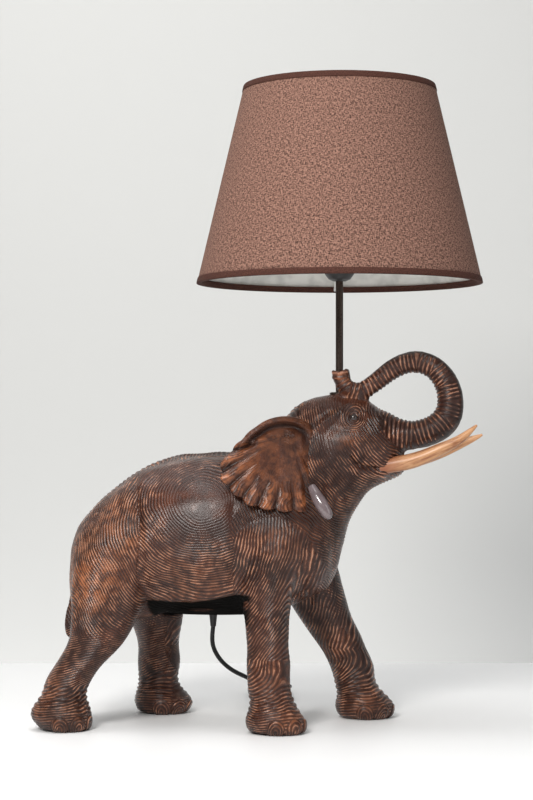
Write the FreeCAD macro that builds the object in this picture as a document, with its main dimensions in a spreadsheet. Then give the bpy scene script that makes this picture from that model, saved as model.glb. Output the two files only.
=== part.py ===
import FreeCAD, Part

import math
import os
import re

import Sketcher
from FreeCAD import Placement, Rotation, Vector

# An elephant table lamp: a hollow cast figure whose trunk curls round a lamp pole, an E27
# lampholder with a slim bulb, a tapered fabric shade, and a mains lead with a switch and a plug.
# The head points to +X, the elephant's left side to +Y. The origin is on the table, under the
# middle of the lamp without its lead. Millimetres.

SIZES = {
    # the pole and its fixings
    "pole_x": 88.0,
    "pole_radius": 4.2,
    "pole_bore": 3.2,
    "pole_foot": 332.0,
    "crown_top": 367.0,
    "crown_inside": 353.0,
    "collar_radius": 11.0,
    "collar_height": 2.6,
    "nut_flats": 14.0,
    "nut_height": 5.0,
    "washer_radius": 12.0,
    "washer_height": 1.5,
    # the casting
    "wall": 8.0,
    "belly_wall": 11.0,
    "pad_height": 0.8,
    "pad_radius": 13.0,
    "cover_x": -54.0,
    "cover_length": 122.0,
    "cover_width": 76.0,
    "cover_thickness": 3.0,
    "cover_bottom": 124.0,
    "hatch_margin": 9.0,
    "cover_screw_radius": 1.5,
    "cover_screw_length": 9.0,
    # the lampholder, measured up from its foot
    "holder_foot": 492.7,
    "shoulder_height": 26.0,
    "seat_height": 29.0,
    "skirt_radius": 19.6,
    "skirt_inside": 15.4,
    "skirt_top": 60.0,
    "sleeve_radius": 13.6,
    "sleeve_inside": 13.2,
    "sleeve_foot": 27.4,
    "sleeve_top": 54.0,
    "lamp_ring_outside": 28.5,
    "lamp_ring_inside": 19.7,
    "lamp_ring_height": 6.5,
    # the bulb
    "cap_radius": 13.05,
    "cap_foot": 31.0,
    "cap_height": 24.0,
    "bulb_radius": 18.4,
    "bulb_top": 136.0,
    "bulb_neck": 80.0,
    # the shade
    "shade_foot": 490.7,
    "shade_height": 218.0,
    "shade_low_radius": 158.0,
    "shade_high_radius": 106.0,
    "fabric": 0.6,
    "liner": 0.8,
    "trim": 0.5,
    "trim_width": 6.0,
    "wire_radius": 1.5,
    "carrier_hole": 21.2,
    "carrier_rim": 28.0,
    "carrier_thickness": 1.4,
    # the lead and what is on it
    "lead_radius": 2.5,
    "relief_flange": 7.0,
    "relief_root": 4.6,
    "relief_tip": 3.1,
    "relief_length": 16.0,
    "hank_near": 192.0,
    "hank_length": 100.0,
    "hank_width": 45.0,
    "hank_height": 17.0,
    "tie_width": 12.0,
    "tie_thickness": 1.0,
    "switch_middle": 153.0,
    "switch_lane": -1.0,
    "switch_axis": 9.5,
    "switch_length": 58.0,
    "switch_width": 24.0,
    "switch_split": 9.5,
    "switch_height": 18.0,
    "switch_wall": 2.0,
    "rocker_length": 15.0,
    "rocker_width": 9.0,
    "rocker_height": 7.0,
    "rocker_throw": 8.0,
    "plug_middle": 259.0,
    "plug_lane": 3.0,
    "plug_length": 36.0,
    "plug_width": 35.0,
    "plug_neck": 13.0,
    "plug_thickness": 13.0,
    "plug_relief": 22.0,
    "pin_radius": 2.0,
    "pin_length": 19.0,
    "pin_spacing": 18.6,
}

doc = FreeCAD.newDocument("elephant_lamp")
sheet = doc.addObject("Spreadsheet::Sheet", "Sizes")
for row, (alias, number) in enumerate(SIZES.items(), start=1):
    sheet.set(f"A{row}", alias)
    sheet.set(f"B{row}", str(number))
    sheet.setAlias(f"B{row}", alias)
doc.recompute()

finished = []


def linked(expression):
    """The expression with each size's name pointing at the sheet."""
    return re.sub("[a-z_]+", lambda word: ("Sizes." if word[0] in SIZES else "") + word[0], expression)


def size(expression):
    """What the expression comes to, in millimetres."""
    return float(sheet.evalExpression(linked(expression)))


def bind(thing, **properties):
    """Sets properties of a document object from expressions in the sheet's names."""
    for name, expression in properties.items():
        thing.setExpression(name.replace("__", "."), linked(expression))
    return thing


def name_piece(thing, label):
    """Marks a document object as one finished piece of the lamp."""
    thing.Label = label
    finished.append(thing)
    return thing


# ---------------------------------------------------------------- general makers


def own_plane(body, role):
    return next(feature for feature in body.Origin.OriginFeatures if feature.Role == role)


def pin(sketch, kind, edge, expression):
    """Holds the first point of an edge at a distance from the sketch's origin."""
    if size(expression) == 0:
        axis = -2 if kind == "DistanceX" else -1
        sketch.addConstraint(Sketcher.Constraint("PointOnObject", edge, 1, axis))
        return
    index = sketch.addConstraint(Sketcher.Constraint(kind, -1, 1, edge, 1, size(expression)))
    sketch.setExpression(f"Constraints[{index}]", linked(expression))


def outline_sketch(body, role, outline):
    """A closed outline of straight edges, every corner bound to the sheet."""
    sketch = body.newObject("Sketcher::SketchObject", body.Name + "_outline")
    sketch.AttachmentSupport = (own_plane(body, role), [""])
    sketch.MapMode = "FlatFace"
    corners = [Vector(size(across), size(up), 0) for across, up in outline]
    for start, end in zip(corners, corners[1:] + corners[:1]):
        sketch.addGeometry(Part.LineSegment(start, end), False)
    for edge in range(len(corners)):
        sketch.addConstraint(Sketcher.Constraint("Coincident", edge, 2, (edge + 1) % len(corners), 1))
    for edge, (across, up) in enumerate(outline):
        pin(sketch, "DistanceX", edge, across)
        pin(sketch, "DistanceY", edge, up)
    return sketch


def turned(label, outline, x="pole_x", foot="0"):
    """A piece turned about a vertical line. The outline is (radius, height) expressions."""
    body = doc.addObject("PartDesign::Body", label)
    sketch = outline_sketch(body, "XZ_Plane", outline)
    turn = body.newObject("PartDesign::Revolution", label + "_turn")
    turn.Profile = sketch
    turn.ReferenceAxis = (sketch, ["V_Axis"])
    turn.Angle = 360
    bind(body, Placement__Base__x=x, Placement__Base__z=foot)
    return name_piece(body, label)


def block(length, width, height, place=Placement()):
    """A box centred over the origin of its place, bound to the sheet."""
    box = bind(doc.addObject("Part::Box", "block"), Length=length, Width=width, Height=height)
    offset = Vector(-size(length) / 2, -size(width) / 2, 0)
    box.Placement = place * Placement(offset, Rotation())
    return box


def rod(radius, length, place=Placement()):
    """A cylinder that starts at its place and runs along the place's Z."""
    cylinder = bind(doc.addObject("Part::Cylinder", "rod"), Radius=radius, Height=length)
    cylinder.Placement = place
    return cylinder


def cut(base, *tools):
    """The base with each tool taken away."""
    for tool in tools:
        result = doc.addObject("Part::Cut", "cut")
        result.Base, result.Tool = base, tool
        base = result
    return base


def joined(*pieces):
    result = doc.addObject("Part::MultiFuse", "joined")
    result.Shapes = list(pieces)
    return result


def rounded(base, radius, chosen):
    """The base with a radius on the edges that chosen(edge) picks."""
    doc.recompute()
    picked = [
        (index, radius, radius) for index, edge in enumerate(base.Shape.Edges, start=1) if chosen(edge)
    ]
    result = doc.addObject("Part::Fillet", "rounded")
    result.Base, result.Edges = base, picked
    return result


def group(label, pieces):
    """Several like solids kept as one piece of the list, such as a set of screws."""
    result = doc.addObject("Part::Compound", label)
    result.Links = pieces
    return name_piece(result, label)


def shaped(label, shape):
    """A piece whose shape comes from Part's own functions."""
    feature = doc.addObject("Part::Feature", label)
    feature.Shape = shape
    return name_piece(feature, label)


def runs_along_z(edge):
    """True for a straight edge along Z."""
    if len(edge.Vertexes) != 2:
        return False
    step = edge.Vertexes[1].Point - edge.Vertexes[0].Point
    return abs(step.x) < 1e-6 and abs(step.y) < 1e-6


def through(points):
    """A closed smooth wire through the points."""
    curve = Part.BSplineCurve()
    curve.interpolate(Points=points, PeriodicFlag=True)
    return Part.Wire([curve.toShape()])


def oval(centre, along, across, reach_along, reach_across, fullness=2.0, count=10):
    """A closed oval wire. A fullness over 2 squares its shoulders."""
    points = []
    for step in range(count):
        angle = 2 * math.pi * step / count
        cosine, sine = math.cos(angle), math.sin(angle)
        up = math.copysign(abs(cosine) ** (2 / fullness), cosine) * reach_along
        out = math.copysign(abs(sine) ** (2 / fullness), sine) * reach_across
        points.append(centre + along * up + across * out)
    return through(points)


def lofted(wires):
    return Part.makeLoft(wires, True, False)


def tube_along(points, radius):
    """A round tube along straight runs joined by tangent arcs, each as large as its runs allow."""
    edges = []
    radii = []
    start = points[0]
    for before, corner, after in zip(points, points[1:], points[2:]):
        back = (before - corner).normalize()
        ahead = (after - corner).normalize()
        turn = math.pi - back.getAngle(ahead)
        trim = 0.45 * min((corner - before).Length, (after - corner).Length)
        arc_radius = trim / math.tan(turn / 2)
        radii.append(round(arc_radius, 1))
        enter, leave = corner + back * trim, corner + ahead * trim
        inward = (back + ahead).normalize()
        centre = corner + inward * (arc_radius / math.cos(turn / 2))
        middle = centre - inward * arc_radius
        edges += [Part.LineSegment(start, enter).toShape(), Part.Arc(enter, middle, leave).toShape()]
        start = leave
    edges.append(Part.LineSegment(start, points[-1]).toShape())
    path = Part.Wire(edges)
    first = points[1] - points[0]
    section = Part.Wire([Part.Circle(points[0], first, radius).toShape()])
    tube = path.makePipeShell([section], True, False)
    expected = math.pi * radius**2 * path.Length
    print(f"tube of {path.Length:.0f} mm, arc radii {radii}, volume {tube.Volume / expected:.4f} of its section")
    return tube


# ---------------------------------------------------------------- the elephant

# Rings of the body from the rump to the chest: x, lowest, highest, half width.
TORSO = [
    (-213, 142, 176, 15),
    (-208, 118, 205, 40),
    (-196, 106, 232, 62),
    (-171, 106, 257, 76),
    (-135, 116, 282, 84),
    (-90, 124, 298, 88),
    (-45, 124, 301, 88),
    (0, 126, 298, 83),
    (38, 134, 282, 74),
    (68, 150, 256, 57),
    (82, 166, 232, 36),
]

# Rings of the neck and head: throat side (x, z), nape side (x, z), half width.
NECK = [
    ((70, 150), (-60, 262), 68),
    ((88, 184), (-38, 299), 66),
    ((95, 212), (-12, 303), 59),
    ((103, 236), (8, 316), 51),
    ((119, 259), (28, 338), 46),
    ((139, 270), (52, 361), 43),
    ((152, 276), (80, 366), 41),
    ((159, 281.5), (110, 363), 34),
    ((160, 299), (133, 349), 23),
]

# Rings of the trunk from the face, down round the loop and back to the pole: x, y, z, radius.
TRUNK = [
    (128, 0, 324, 25),
    (152, 0, 323, 18.6),
    (172, 0, 322.3, 15.8),
    (193, 0, 328.6, 15.8),
    (207.5, 0, 341.5, 15.6),
    (211, 0, 359, 14.6),
    (206.5, 0, 379, 13.6),
    (193, 0, 396, 12.6),
    (174, 0, 403, 12.2),
    (155, -1, 399, 11.5),
    (138, -3, 388, 10.8),
    (124, -6, 377, 10.2),
    (111, -10, 371, 9.4),
    (99, -13.5, 374, 9),
    (92, -14.4, 383, 9.4),
    (91, -14.6, 392, 10.2),
]

# Rings of each leg from the sole up: height, x, y, half length, half width.
LEGS = {
    "right_rear": [
        (0.8, -205, -77, 27, 25),
        (10, -208, -77, 31, 30),
        (20, -209.5, -77, 32.5, 31),
        (29, -208.5, -77, 29, 28.5),
        (38, -207, -76, 24.8, 25.5),
        (52, -202.5, -75, 25, 25),
        (71, -191, -72, 26.4, 26),
        (96, -172.5, -67, 30.5, 28),
        (122, -164.5, -61, 36.5, 31),
        (150, -158.5, -55, 44.5, 34),
        (185, -154, -47, 45, 36),
        (214, -149, -37, 36, 28),
        (232, -146, -28, 20, 14),
    ],
    "left_rear": [
        (0.8, -125.5, 76, 28, 26),
        (9, -125.5, 76, 32.6, 30.5),
        (18, -126.3, 76, 32, 31),
        (27, -129, 76, 26, 26.5),
        (38, -130.8, 75, 22.8, 24),
        (56, -130, 74, 24.2, 24),
        (84, -130, 70, 24.4, 25.5),
        (104, -130.5, 66, 29, 27.5),
        (124, -134, 61, 35, 31),
        (152, -143, 55, 43, 35),
        (186, -149, 47, 46, 36),
        (214, -146, 37, 36, 28),
        (232, -142, 28, 20, 14),
    ],
    "right_front": [
        (0.8, 27, -68, 28.5, 26),
        (10, 26.5, -68, 33, 31),
        (21, 24.5, -68, 30, 30),
        (31, 22.5, -68, 24.7, 26),
        (46, 19, -67.5, 22.8, 24.5),
        (66, 18, -66.5, 23.2, 24.5),
        (94, 16.5, -64, 22.4, 25),
        (124, 15, -60, 24.4, 27),
        (155, 14, -56, 29.4, 29.5),
        (190, 16, -51, 35, 33),
        (225, 16, -43, 38, 32),
        (252, 13, -33, 26, 22),
        (268, 11, -28, 14, 10),
    ],
    "left_front": [
        (0.8, 110.5, 68, 28, 26),
        (9, 109.7, 68, 33, 31),
        (17, 109, 68, 32.3, 31),
        (25, 106.5, 68, 27.5, 28),
        (37, 100.3, 68, 23.8, 25),
        (56, 96, 67.5, 24.4, 25),
        (77, 86.5, 66.5, 25.6, 25.5),
        (98, 74.8, 64, 28.2, 26.5),
        (120, 62.5, 60, 31.5, 28.5),
        (144, 53.5, 55, 34.5, 31),
        (178, 41, 50, 37, 34),
        (215, 27, 41, 36, 32),
        (246, 15, 32, 26, 22),
        (262, 11, 28, 14, 10),
    ],
}

# Rings of the tail, which hangs against the rump: x, y, z, radius.
TAIL = [
    (-192, 2, 218, 7),
    (-203, 1, 200, 6.4),
    (-209.5, -1, 172, 5.4),
    (-211.6, -4, 144, 5),
    (-214.6, -7, 125, 6),
    (-216.4, -8, 111, 6.4),
    (-213, -9, 92, 3),
]

# Rings of an ear from where it joins the head to its rear edge: x, side, lowest, highest, half thickness.
EAR = [
    (64, 36, 268, 328, 9),
    (52, 54, 244, 340, 6.5),
    (30, 71, 241, 341, 4.6),
    (8, 82, 246, 331, 4),
    (-12, 87, 257, 309, 3.6),
    (-29, 88, 273, 290, 2.6),
]
EAR_LOBE = [(62, 56, 266, 5), (70, 60, 252, 5.5), (79, 62, 239, 5), (84, 62, 230, 2.5)]

# Rings of each tusk from its root inside the lip: x, distance from the middle plane, z, radius.
RIGHT_TUSK = [
    (136, 22, 286.5, 8.2),
    (154, 24, 290.5, 8.6),
    (181, 27, 297.5, 8),
    (201, 28, 306.5, 6.8),
    (220, 27, 316, 5.2),
    (232, 26, 325, 3.4),
    (241, 25, 333, 1.2),
]
LEFT_TUSK = [
    (136, 22, 286, 8.2),
    (154, 24, 290, 8.4),
    (182, 27, 297.5, 7.6),
    (204, 28, 305, 6.4),
    (224, 27, 313.5, 4.8),
    (236, 26, 318.5, 3.2),
    (245, 25, 322.5, 1.2),
]


def torso(inset=0.0, belly_inset=0.0):
    """The body. With an inset it is the hollow inside."""
    rings = TORSO[1:-1] if inset else TORSO
    wires = []
    for x, low, high, half in rings:
        low, high, half = low + belly_inset, high - inset, half - inset
        centre = Vector(x, 0, (low + high) / 2)
        wires.append(oval(centre, Vector(0, 0, 1), Vector(0, 1, 0), (high - low) / 2, half, 2.2))
    return lofted(wires)


def neck(inset=0.0):
    """The neck and head, or with an inset the hollow inside them."""
    wires = []
    for throat, nape, half in NECK[:-2] if inset else NECK:
        low, high = Vector(throat[0], 0, throat[1]), Vector(nape[0], 0, nape[1])
        along = (high - low).normalize()
        reach = (high - low).Length / 2 - inset
        wires.append(oval((low + high) / 2, along, Vector(0, 1, 0), reach, half - inset, 2.1))
    return lofted(wires)


def round_limb(rings, grow=0.0):
    """A limb of round section through rings of x, y, z, radius."""
    centres = [Vector(*ring[:3]) for ring in rings]
    wires = []
    for index, (centre, ring) in enumerate(zip(centres, rings)):
        tangent = centres[min(index + 1, len(rings) - 1)] - centres[max(index - 1, 0)]
        tangent.normalize()
        side = Vector(0, 1, 0)
        across = (side - tangent * side.dot(tangent)).normalize()
        along = across.cross(tangent)
        wires.append(oval(centre, along, across, ring[3] + grow, ring[3] + grow, count=8))
    return lofted(wires)


def leg(rings):
    wires = [oval(Vector(x, y, z), Vector(1, 0, 0), Vector(0, 1, 0), *halves) for z, x, y, *halves in rings]
    return lofted(wires)


def tusk(rings, side, grow=0.0):
    return round_limb([(x, side * out, z, radius) for x, out, z, radius in rings], grow)


def ear(side):
    """A curved plate that stands off the shoulder, with a small lobe at its front."""
    wires = []
    for x, out, low, high, half in EAR:
        centre = Vector(x, side * out, (low + high) / 2)
        lean = Vector(0, side * 0.12, -1).normalize()
        across = lean.cross(Vector(1, 0, 0))
        wires.append(oval(centre, lean, across, (high - low) / 2, half, count=8))
    lobe = round_limb([(x, side * out, z, radius) for x, out, z, radius in EAR_LOBE])
    return lofted(wires).fuse(lobe)


def oval_prism(margin, low, high):
    """An upright oval block under the belly, smaller than the cover by the margin all round."""
    centre = Vector(size("cover_x"), 0, low)
    halves = size("cover_length") / 2 - margin, size("cover_width") / 2 - margin
    outline = Part.Ellipse(
        centre + Vector(halves[0], 0, 0), centre + Vector(0, halves[1], 0), centre
    ).toShape()
    return Part.Face(Part.Wire([outline])).extrude(Vector(0, 0, high - low))


def screw_places():
    """The cover's four screws, on the middle of its rim."""
    rim = size("hatch_margin") / 2
    along, across = size("cover_length") / 2 - rim, size("cover_width") / 2 - rim
    angles = [math.radians(angle) for angle in (40, 140, 220, 320)]
    return [
        Vector(size("cover_x") + along * math.cos(angle), across * math.sin(angle), 0) for angle in angles
    ]


def make_elephant():
    """The casting with its ears and tusks."""
    pole = Vector(size("pole_x"), 0, 0)
    outside = torso().multiFuse(
        [neck(), round_limb(TRUNK), round_limb(TAIL)] + [leg(rings) for rings in LEGS.values()]
    )
    boss = Part.makeCylinder(13, size("crown_top") - 345, pole + Vector(0, 0, 345))
    bottom = size("cover_bottom")
    seat = oval_prism(-4, bottom + 1.5, bottom + 30)
    outside = outside.multiFuse([boss, seat])
    top = bottom + size("cover_thickness") + 0.2
    pilots = [
        Part.makeCylinder(size("cover_screw_radius"), size("cover_screw_length"), place + Vector(0, 0, bottom))
        for place in screw_places()
    ]
    hollows = [
        torso(size("wall"), size("belly_wall")),
        neck(size("wall")),
        oval_prism(-0.3, bottom - 30, top),
        oval_prism(size("hatch_margin"), bottom - 30, bottom + 25),
        Part.makeCylinder(size("pole_radius") + 0.05, 60, pole + Vector(0, 0, size("pole_foot"))),
        Part.makeCylinder(size("washer_radius") + 1, size("crown_inside") - 330, pole + Vector(0, 0, 330)),
        tusk(RIGHT_TUSK, -1, 0.1),
        tusk(LEFT_TUSK, 1, 0.1),
        Part.makeCylinder(
            size("collar_radius") + 0.1, size("collar_height") + 0.1, pole + Vector(0, 0, size("crown_top"))
        ),
    ]
    casting = outside.cut(hollows + pilots)
    casting = max(casting.Solids, key=lambda solid: solid.Volume)
    shaped("elephant_casting", casting)
    solid_head = torso().multiFuse([neck()])
    for name, side in (("ear_right", -1), ("ear_left", 1)):
        plate = ear(side).cut(solid_head)
        shaped(name, max(plate.Solids, key=lambda solid: solid.Volume))
    shaped("tusk_right", tusk(RIGHT_TUSK, -1))
    shaped("tusk_left", tusk(LEFT_TUSK, 1))


def make_underside():
    """The belly cover, its screws, the lead's relief and clamp, and a pad under each foot."""
    bottom, thickness = size("cover_bottom"), size("cover_thickness")
    cover = oval_prism(0, bottom, bottom + thickness)
    middle = Vector(size("cover_x"), 0, 0)
    holes = [Part.makeCylinder(size("relief_root") + 0.1, thickness, middle + Vector(0, 0, bottom))]
    for place in screw_places():
        holes.append(
            Part.makeCylinder(size("cover_screw_radius") + 0.2, thickness, place + Vector(0, 0, bottom))
        )
    shaped("belly_cover", cover.cut(holes))
    screws = []
    for place in screw_places():
        at = Placement(place + Vector(0, 0, bottom - 2), Rotation())
        up = Placement(place + Vector(0, 0, bottom), Rotation())
        screws.append(joined(rod("2 * cover_screw_radius", "2", at), rod("cover_screw_radius", "8.5", up)))
    group("belly_cover_screws", screws)
    turned(
        "cord_relief",
        [
            ("lead_radius + 0.05", "0"),
            ("relief_tip", "0"),
            ("relief_root", "relief_length - 2"),
            ("relief_flange", "relief_length - 2"),
            ("relief_flange", "relief_length"),
            ("relief_root", "relief_length"),
            ("relief_root", "relief_length + cover_thickness"),
            ("relief_flange - 1", "relief_length + cover_thickness + 0.1"),
            ("relief_root", "relief_length + cover_thickness + 3"),
            ("lead_radius + 0.05", "relief_length + cover_thickness + 3"),
        ],
        x="cover_x",
        foot="cover_bottom - relief_length",
    )
    above = Placement(Vector(size("cover_x") + 16, 0, bottom + thickness), Rotation())
    bridge = cut(
        block("8", "24", "9", above),
        rod(
            "lead_radius + 0.05",
            "12",
            Placement(above.Base + Vector(-6, 0, 3.5), Rotation(Vector(0, 1, 0), 90)),
        ),
    )
    name_piece(bridge, "cord_clamp")
    pads = []
    for rings in LEGS.values():
        _, x, y, _, _ = rings[0]
        pads.append(rod("pad_radius", "pad_height", Placement(Vector(x, y, 0), Rotation())))
    group("foot_pads", pads)


# ---------------------------------------------------------------- the pole and the lampholder


def make_pole():
    turned(
        "pole",
        [
            ("pole_bore", "0"),
            ("pole_radius", "0"),
            ("pole_radius", "holder_foot + 11 - pole_foot"),
            ("pole_bore", "holder_foot + 11 - pole_foot"),
        ],
        foot="pole_foot",
    )
    turned(
        "pole_collar",
        [
            ("pole_radius + 0.05", "0"),
            ("collar_radius", "0"),
            ("collar_radius", "collar_height - 0.8"),
            ("collar_radius - 1.2", "collar_height"),
            ("pole_radius + 0.05", "collar_height"),
        ],
        foot="crown_top",
    )
    turned(
        "pole_washer",
        [
            ("pole_radius + 0.3", "0"),
            ("washer_radius", "0"),
            ("washer_radius", "washer_height"),
            ("pole_radius + 0.3", "washer_height"),
        ],
        foot="crown_inside - washer_height",
    )
    nut = doc.addObject("Part::Prism", "nut_blank")
    nut.Polygon = 6
    bind(nut, Circumradius="nut_flats / sqrt(3)", Height="nut_height")
    foot = size("crown_inside - washer_height - nut_height")
    nut.Placement.Base = Vector(size("pole_x"), 0, foot)
    hole = rod("pole_radius + 0.05", "nut_height + 2", Placement(nut.Placement.Base - Vector(0, 0, 1), Rotation()))
    name_piece(cut(nut, hole), "pole_nut")


def make_inner_lead():
    """The lead inside the figure, from the relief up through the neck and the pole."""
    x, pole_x = size("cover_x"), size("pole_x")
    route = [
        (x, 0, size("cover_bottom") + 0.5),
        (x, 0, 150),
        (x + 22, 0, 178),
        (18, 0, 212),
        (54, 0, 244),
        (80, 0, 278),
        (pole_x, 0, 312),
        (pole_x, 0, size("holder_foot") + 12.5),
    ]
    shaped("inner_lead", tube_along([Vector(*point) for point in route], size("lead_radius")))


def make_holder():
    """An E27 holder: cap, terminal block with its contacts, screw sleeve, skirt and shade ring."""
    turned(
        "holder_cap",
        [
            ("pole_radius + 0.05", "0"),
            ("7", "0"),
            ("12", "2.2"),
            ("16", "7.5"),
            ("18.4", "15"),
            ("19.4", "shoulder_height - 2"),
            ("23.5", "shoulder_height"),
            ("23.5", "seat_height"),
            ("17.3", "seat_height"),
            ("17.3", "13"),
            ("pole_radius + 0.05", "11"),
        ],
        foot="holder_foot",
    )
    turned(
        "holder_block",
        [
            ("0", "16"),
            ("15", "16"),
            ("15", "sleeve_foot - 0.4"),
            ("0", "sleeve_foot - 0.4"),
        ],
        foot="holder_foot",
    )
    turned(
        "holder_sleeve",
        [
            ("9", "sleeve_foot - 0.3"),
            ("sleeve_radius", "sleeve_foot - 0.3"),
            ("sleeve_radius", "sleeve_top"),
            ("sleeve_inside", "sleeve_top"),
            ("sleeve_inside", "sleeve_foot + 0.2"),
            ("9", "sleeve_foot + 0.2"),
        ],
        foot="holder_foot",
    )
    turned(
        "holder_centre_contact",
        [
            ("0", "sleeve_foot - 0.3"),
            ("4", "sleeve_foot - 0.3"),
            ("4", "sleeve_foot"),
            ("2.5", "sleeve_foot + 0.6"),
            ("0", "sleeve_foot + 0.9"),
        ],
        foot="holder_foot",
    )
    turned(
        "holder_skirt",
        [
            ("skirt_inside", "20"),
            ("17.2", "20"),
            ("17.2", "seat_height + 0.1"),
            ("skirt_radius", "seat_height + 0.1"),
            ("skirt_radius", "skirt_top - 1"),
            ("skirt_radius - 1", "skirt_top"),
            ("skirt_inside", "skirt_top"),
        ],
        foot="holder_foot",
    )
    screws = []
    for side in (-1, 1):
        at = Placement(Vector(size("pole_x"), side * 8, size("holder_foot") + 13.4), Rotation())
        screws.append(rod("2", "2.5", at))
    group("holder_terminal_screws", screws)
    turned(
        "shade_ring",
        [
            ("lamp_ring_inside", "0"),
            ("lamp_ring_outside", "0"),
            ("lamp_ring_outside", "2"),
            ("lamp_ring_inside + 3", "lamp_ring_height"),
            ("lamp_ring_inside", "lamp_ring_height"),
        ],
        foot="holder_foot + seat_height + carrier_thickness + 0.3",
    )


def make_bulb():
    """A slim LED bulb that the shade's carrier passes over."""
    turned(
        "bulb_cap",
        [
            ("cap_radius - 0.5", "0"),
            ("cap_radius", "1.5"),
            ("cap_radius", "cap_height"),
            ("cap_radius - 0.5", "cap_height"),
            ("cap_radius - 0.5", "1.5"),
            ("5", "0"),
            ("5", "-0.2"),
            ("cap_radius - 0.9", "-0.2"),
        ],
        foot="holder_foot + cap_foot",
    )
    turned(
        "bulb_insulator",
        [("0", "-1.4"), ("4.2", "-1.4"), ("9", "-0.2"), ("0", "-0.2")],
        foot="holder_foot + cap_foot",
    )
    turned(
        "bulb_contact",
        [("0", "-2.4"), ("2.4", "-2.2"), ("3.6", "-1.4"), ("0", "-1.4")],
        foot="holder_foot + cap_foot",
    )
    turned(
        "bulb_housing",
        [
            ("9", "44"),
            ("cap_radius - 0.6", "44"),
            ("cap_radius - 0.6", "cap_foot + cap_height"),
            ("14", "cap_foot + cap_height + 0.1"),
            ("14.6", "62"),
            ("17.4", "bulb_neck"),
            ("14", "bulb_neck"),
            ("12", "cap_foot + cap_height"),
            ("9", "cap_foot + cap_height"),
        ],
        foot="holder_foot",
    )
    turned(
        "bulb_light_board",
        [("0", "bulb_neck - 3"), ("13", "bulb_neck - 3"), ("13", "bulb_neck - 1.4"), ("0", "bulb_neck - 1.4")],
        foot="holder_foot",
    )
    turned(
        "bulb_envelope",
        [
            ("15", "bulb_neck + 0.1"),
            ("17.3", "bulb_neck + 0.1"),
            ("bulb_radius", "bulb_neck + 8"),
            ("bulb_radius", "bulb_top - 26"),
            ("17.2", "bulb_top - 15"),
            ("13.6", "bulb_top - 6"),
            ("7.4", "bulb_top - 1"),
            ("0", "bulb_top"),
            ("0", "bulb_top - 1.6"),
            ("6.8", "bulb_top - 2.6"),
            ("12.4", "bulb_top - 7"),
            ("15.6", "bulb_top - 16"),
            ("bulb_radius - 1.6", "bulb_top - 26"),
            ("bulb_radius - 1.6", "bulb_neck + 8"),
        ],
        foot="holder_foot",
    )


# ---------------------------------------------------------------- the shade


ARM_ANGLES = (98, 218, 338)


def cone_radius(height, depth):
    """The radius at a height up the shade and a depth inside its fabric's face."""
    lean = "(shade_low_radius - shade_high_radius) / shade_height"
    return f"shade_low_radius - {lean} * ({height}) - ({depth})"


def cone_shell(label, outer, inner, low, high):
    """A tapered shell between two depths inside the fabric's face."""
    outline = [
        (cone_radius(low, inner), low),
        (cone_radius(low, outer), low),
        (cone_radius(high, outer), high),
        (cone_radius(high, inner), high),
    ]
    return turned(label, outline, foot="shade_foot")


def edge_trim(label, edge, into):
    """The tape folded over an edge: into is +1 for the lower edge, -1 for the upper one."""
    web = f"{edge} - ({into}) * 0.1"
    brim = f"{edge} - ({into}) * (0.1 + trim)"
    outer_end = f"{edge} + ({into}) * trim_width"
    inner_end = f"{edge} + ({into}) * 4.6"
    inside = "fabric + liner + 2 * wire_radius + 0.4"
    outline = [
        (cone_radius(brim, "-trim - 0.05"), brim),
        (cone_radius(outer_end, "-trim - 0.05"), outer_end),
        (cone_radius(outer_end, "-0.05"), outer_end),
        (cone_radius(web, "-0.05"), web),
        (cone_radius(web, inside), web),
        (cone_radius(inner_end, inside), inner_end),
        (cone_radius(inner_end, inside + " + trim"), inner_end),
        (cone_radius(brim, inside + " + trim"), brim),
    ]
    return turned(label, outline, foot="shade_foot")


def wire_ring(height, depth):
    """A round wire bent to a ring inside the shade."""
    ring = doc.addObject("Part::Torus", "wire_ring")
    bind(ring, Radius1=cone_radius(height, depth), Radius2="wire_radius")
    ring.Placement.Base = Vector(size("pole_x"), 0, size(f"shade_foot + {height}"))
    return ring


def carrier_seat():
    """The middle of the carrier plate's underside, where it rests on the holder."""
    return Vector(size("pole_x"), 0, size("holder_foot + seat_height + 0.1"))


def carrier_arm(angle, wire_depth, radius):
    """A wire from under the edge of the carrier plate out to the shade's lower wire."""
    outward = Rotation(Vector(0, 0, 1), angle).multVec(Vector(1, 0, 0))
    start = carrier_seat() + outward * size("carrier_rim - 2")
    start.z += size("carrier_thickness - wire_radius")
    end = carrier_seat() + outward * size(cone_radius("wire_radius", wire_depth))
    end.z = size("shade_foot + wire_radius + 0.2")
    place = Placement(start, Rotation(Vector(0, 0, 1), end - start))
    return rod(radius, str((end - start).Length), place)


def make_shade():
    """The shade: fabric on its liner, taped edges, the top wire and the carrier on three arms."""
    cone_shell("shade_fabric", "0", "fabric", "0", "shade_height")
    cone_shell("shade_liner", "fabric + 0.02", "fabric + liner", "0", "shade_height")
    edge_trim("shade_trim_high", "shade_height", -1)
    wire_depth = "fabric + liner + wire_radius + 0.2"
    tape = edge_trim("low_tape", "0", 1)
    finished.remove(tape)
    slits = [carrier_arm(angle, wire_depth, "wire_radius + 0.2") for angle in ARM_ANGLES]
    name_piece(cut(tape, *slits), "shade_trim_low")
    name_piece(wire_ring("shade_height - wire_radius - 0.2", wire_depth), "shade_wire_high")
    under = Placement(carrier_seat() - Vector(0, 0, 1), Rotation())
    plate = cut(
        rod("carrier_rim", "carrier_thickness", Placement(carrier_seat(), Rotation())),
        rod("carrier_hole", "carrier_thickness + 2", under),
    )
    low_wire = wire_ring("wire_radius + 0.2", wire_depth)
    arms = [carrier_arm(angle, wire_depth, "wire_radius") for angle in ARM_ANGLES]
    name_piece(joined(plate, low_wire, *arms), "shade_carrier")


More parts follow.
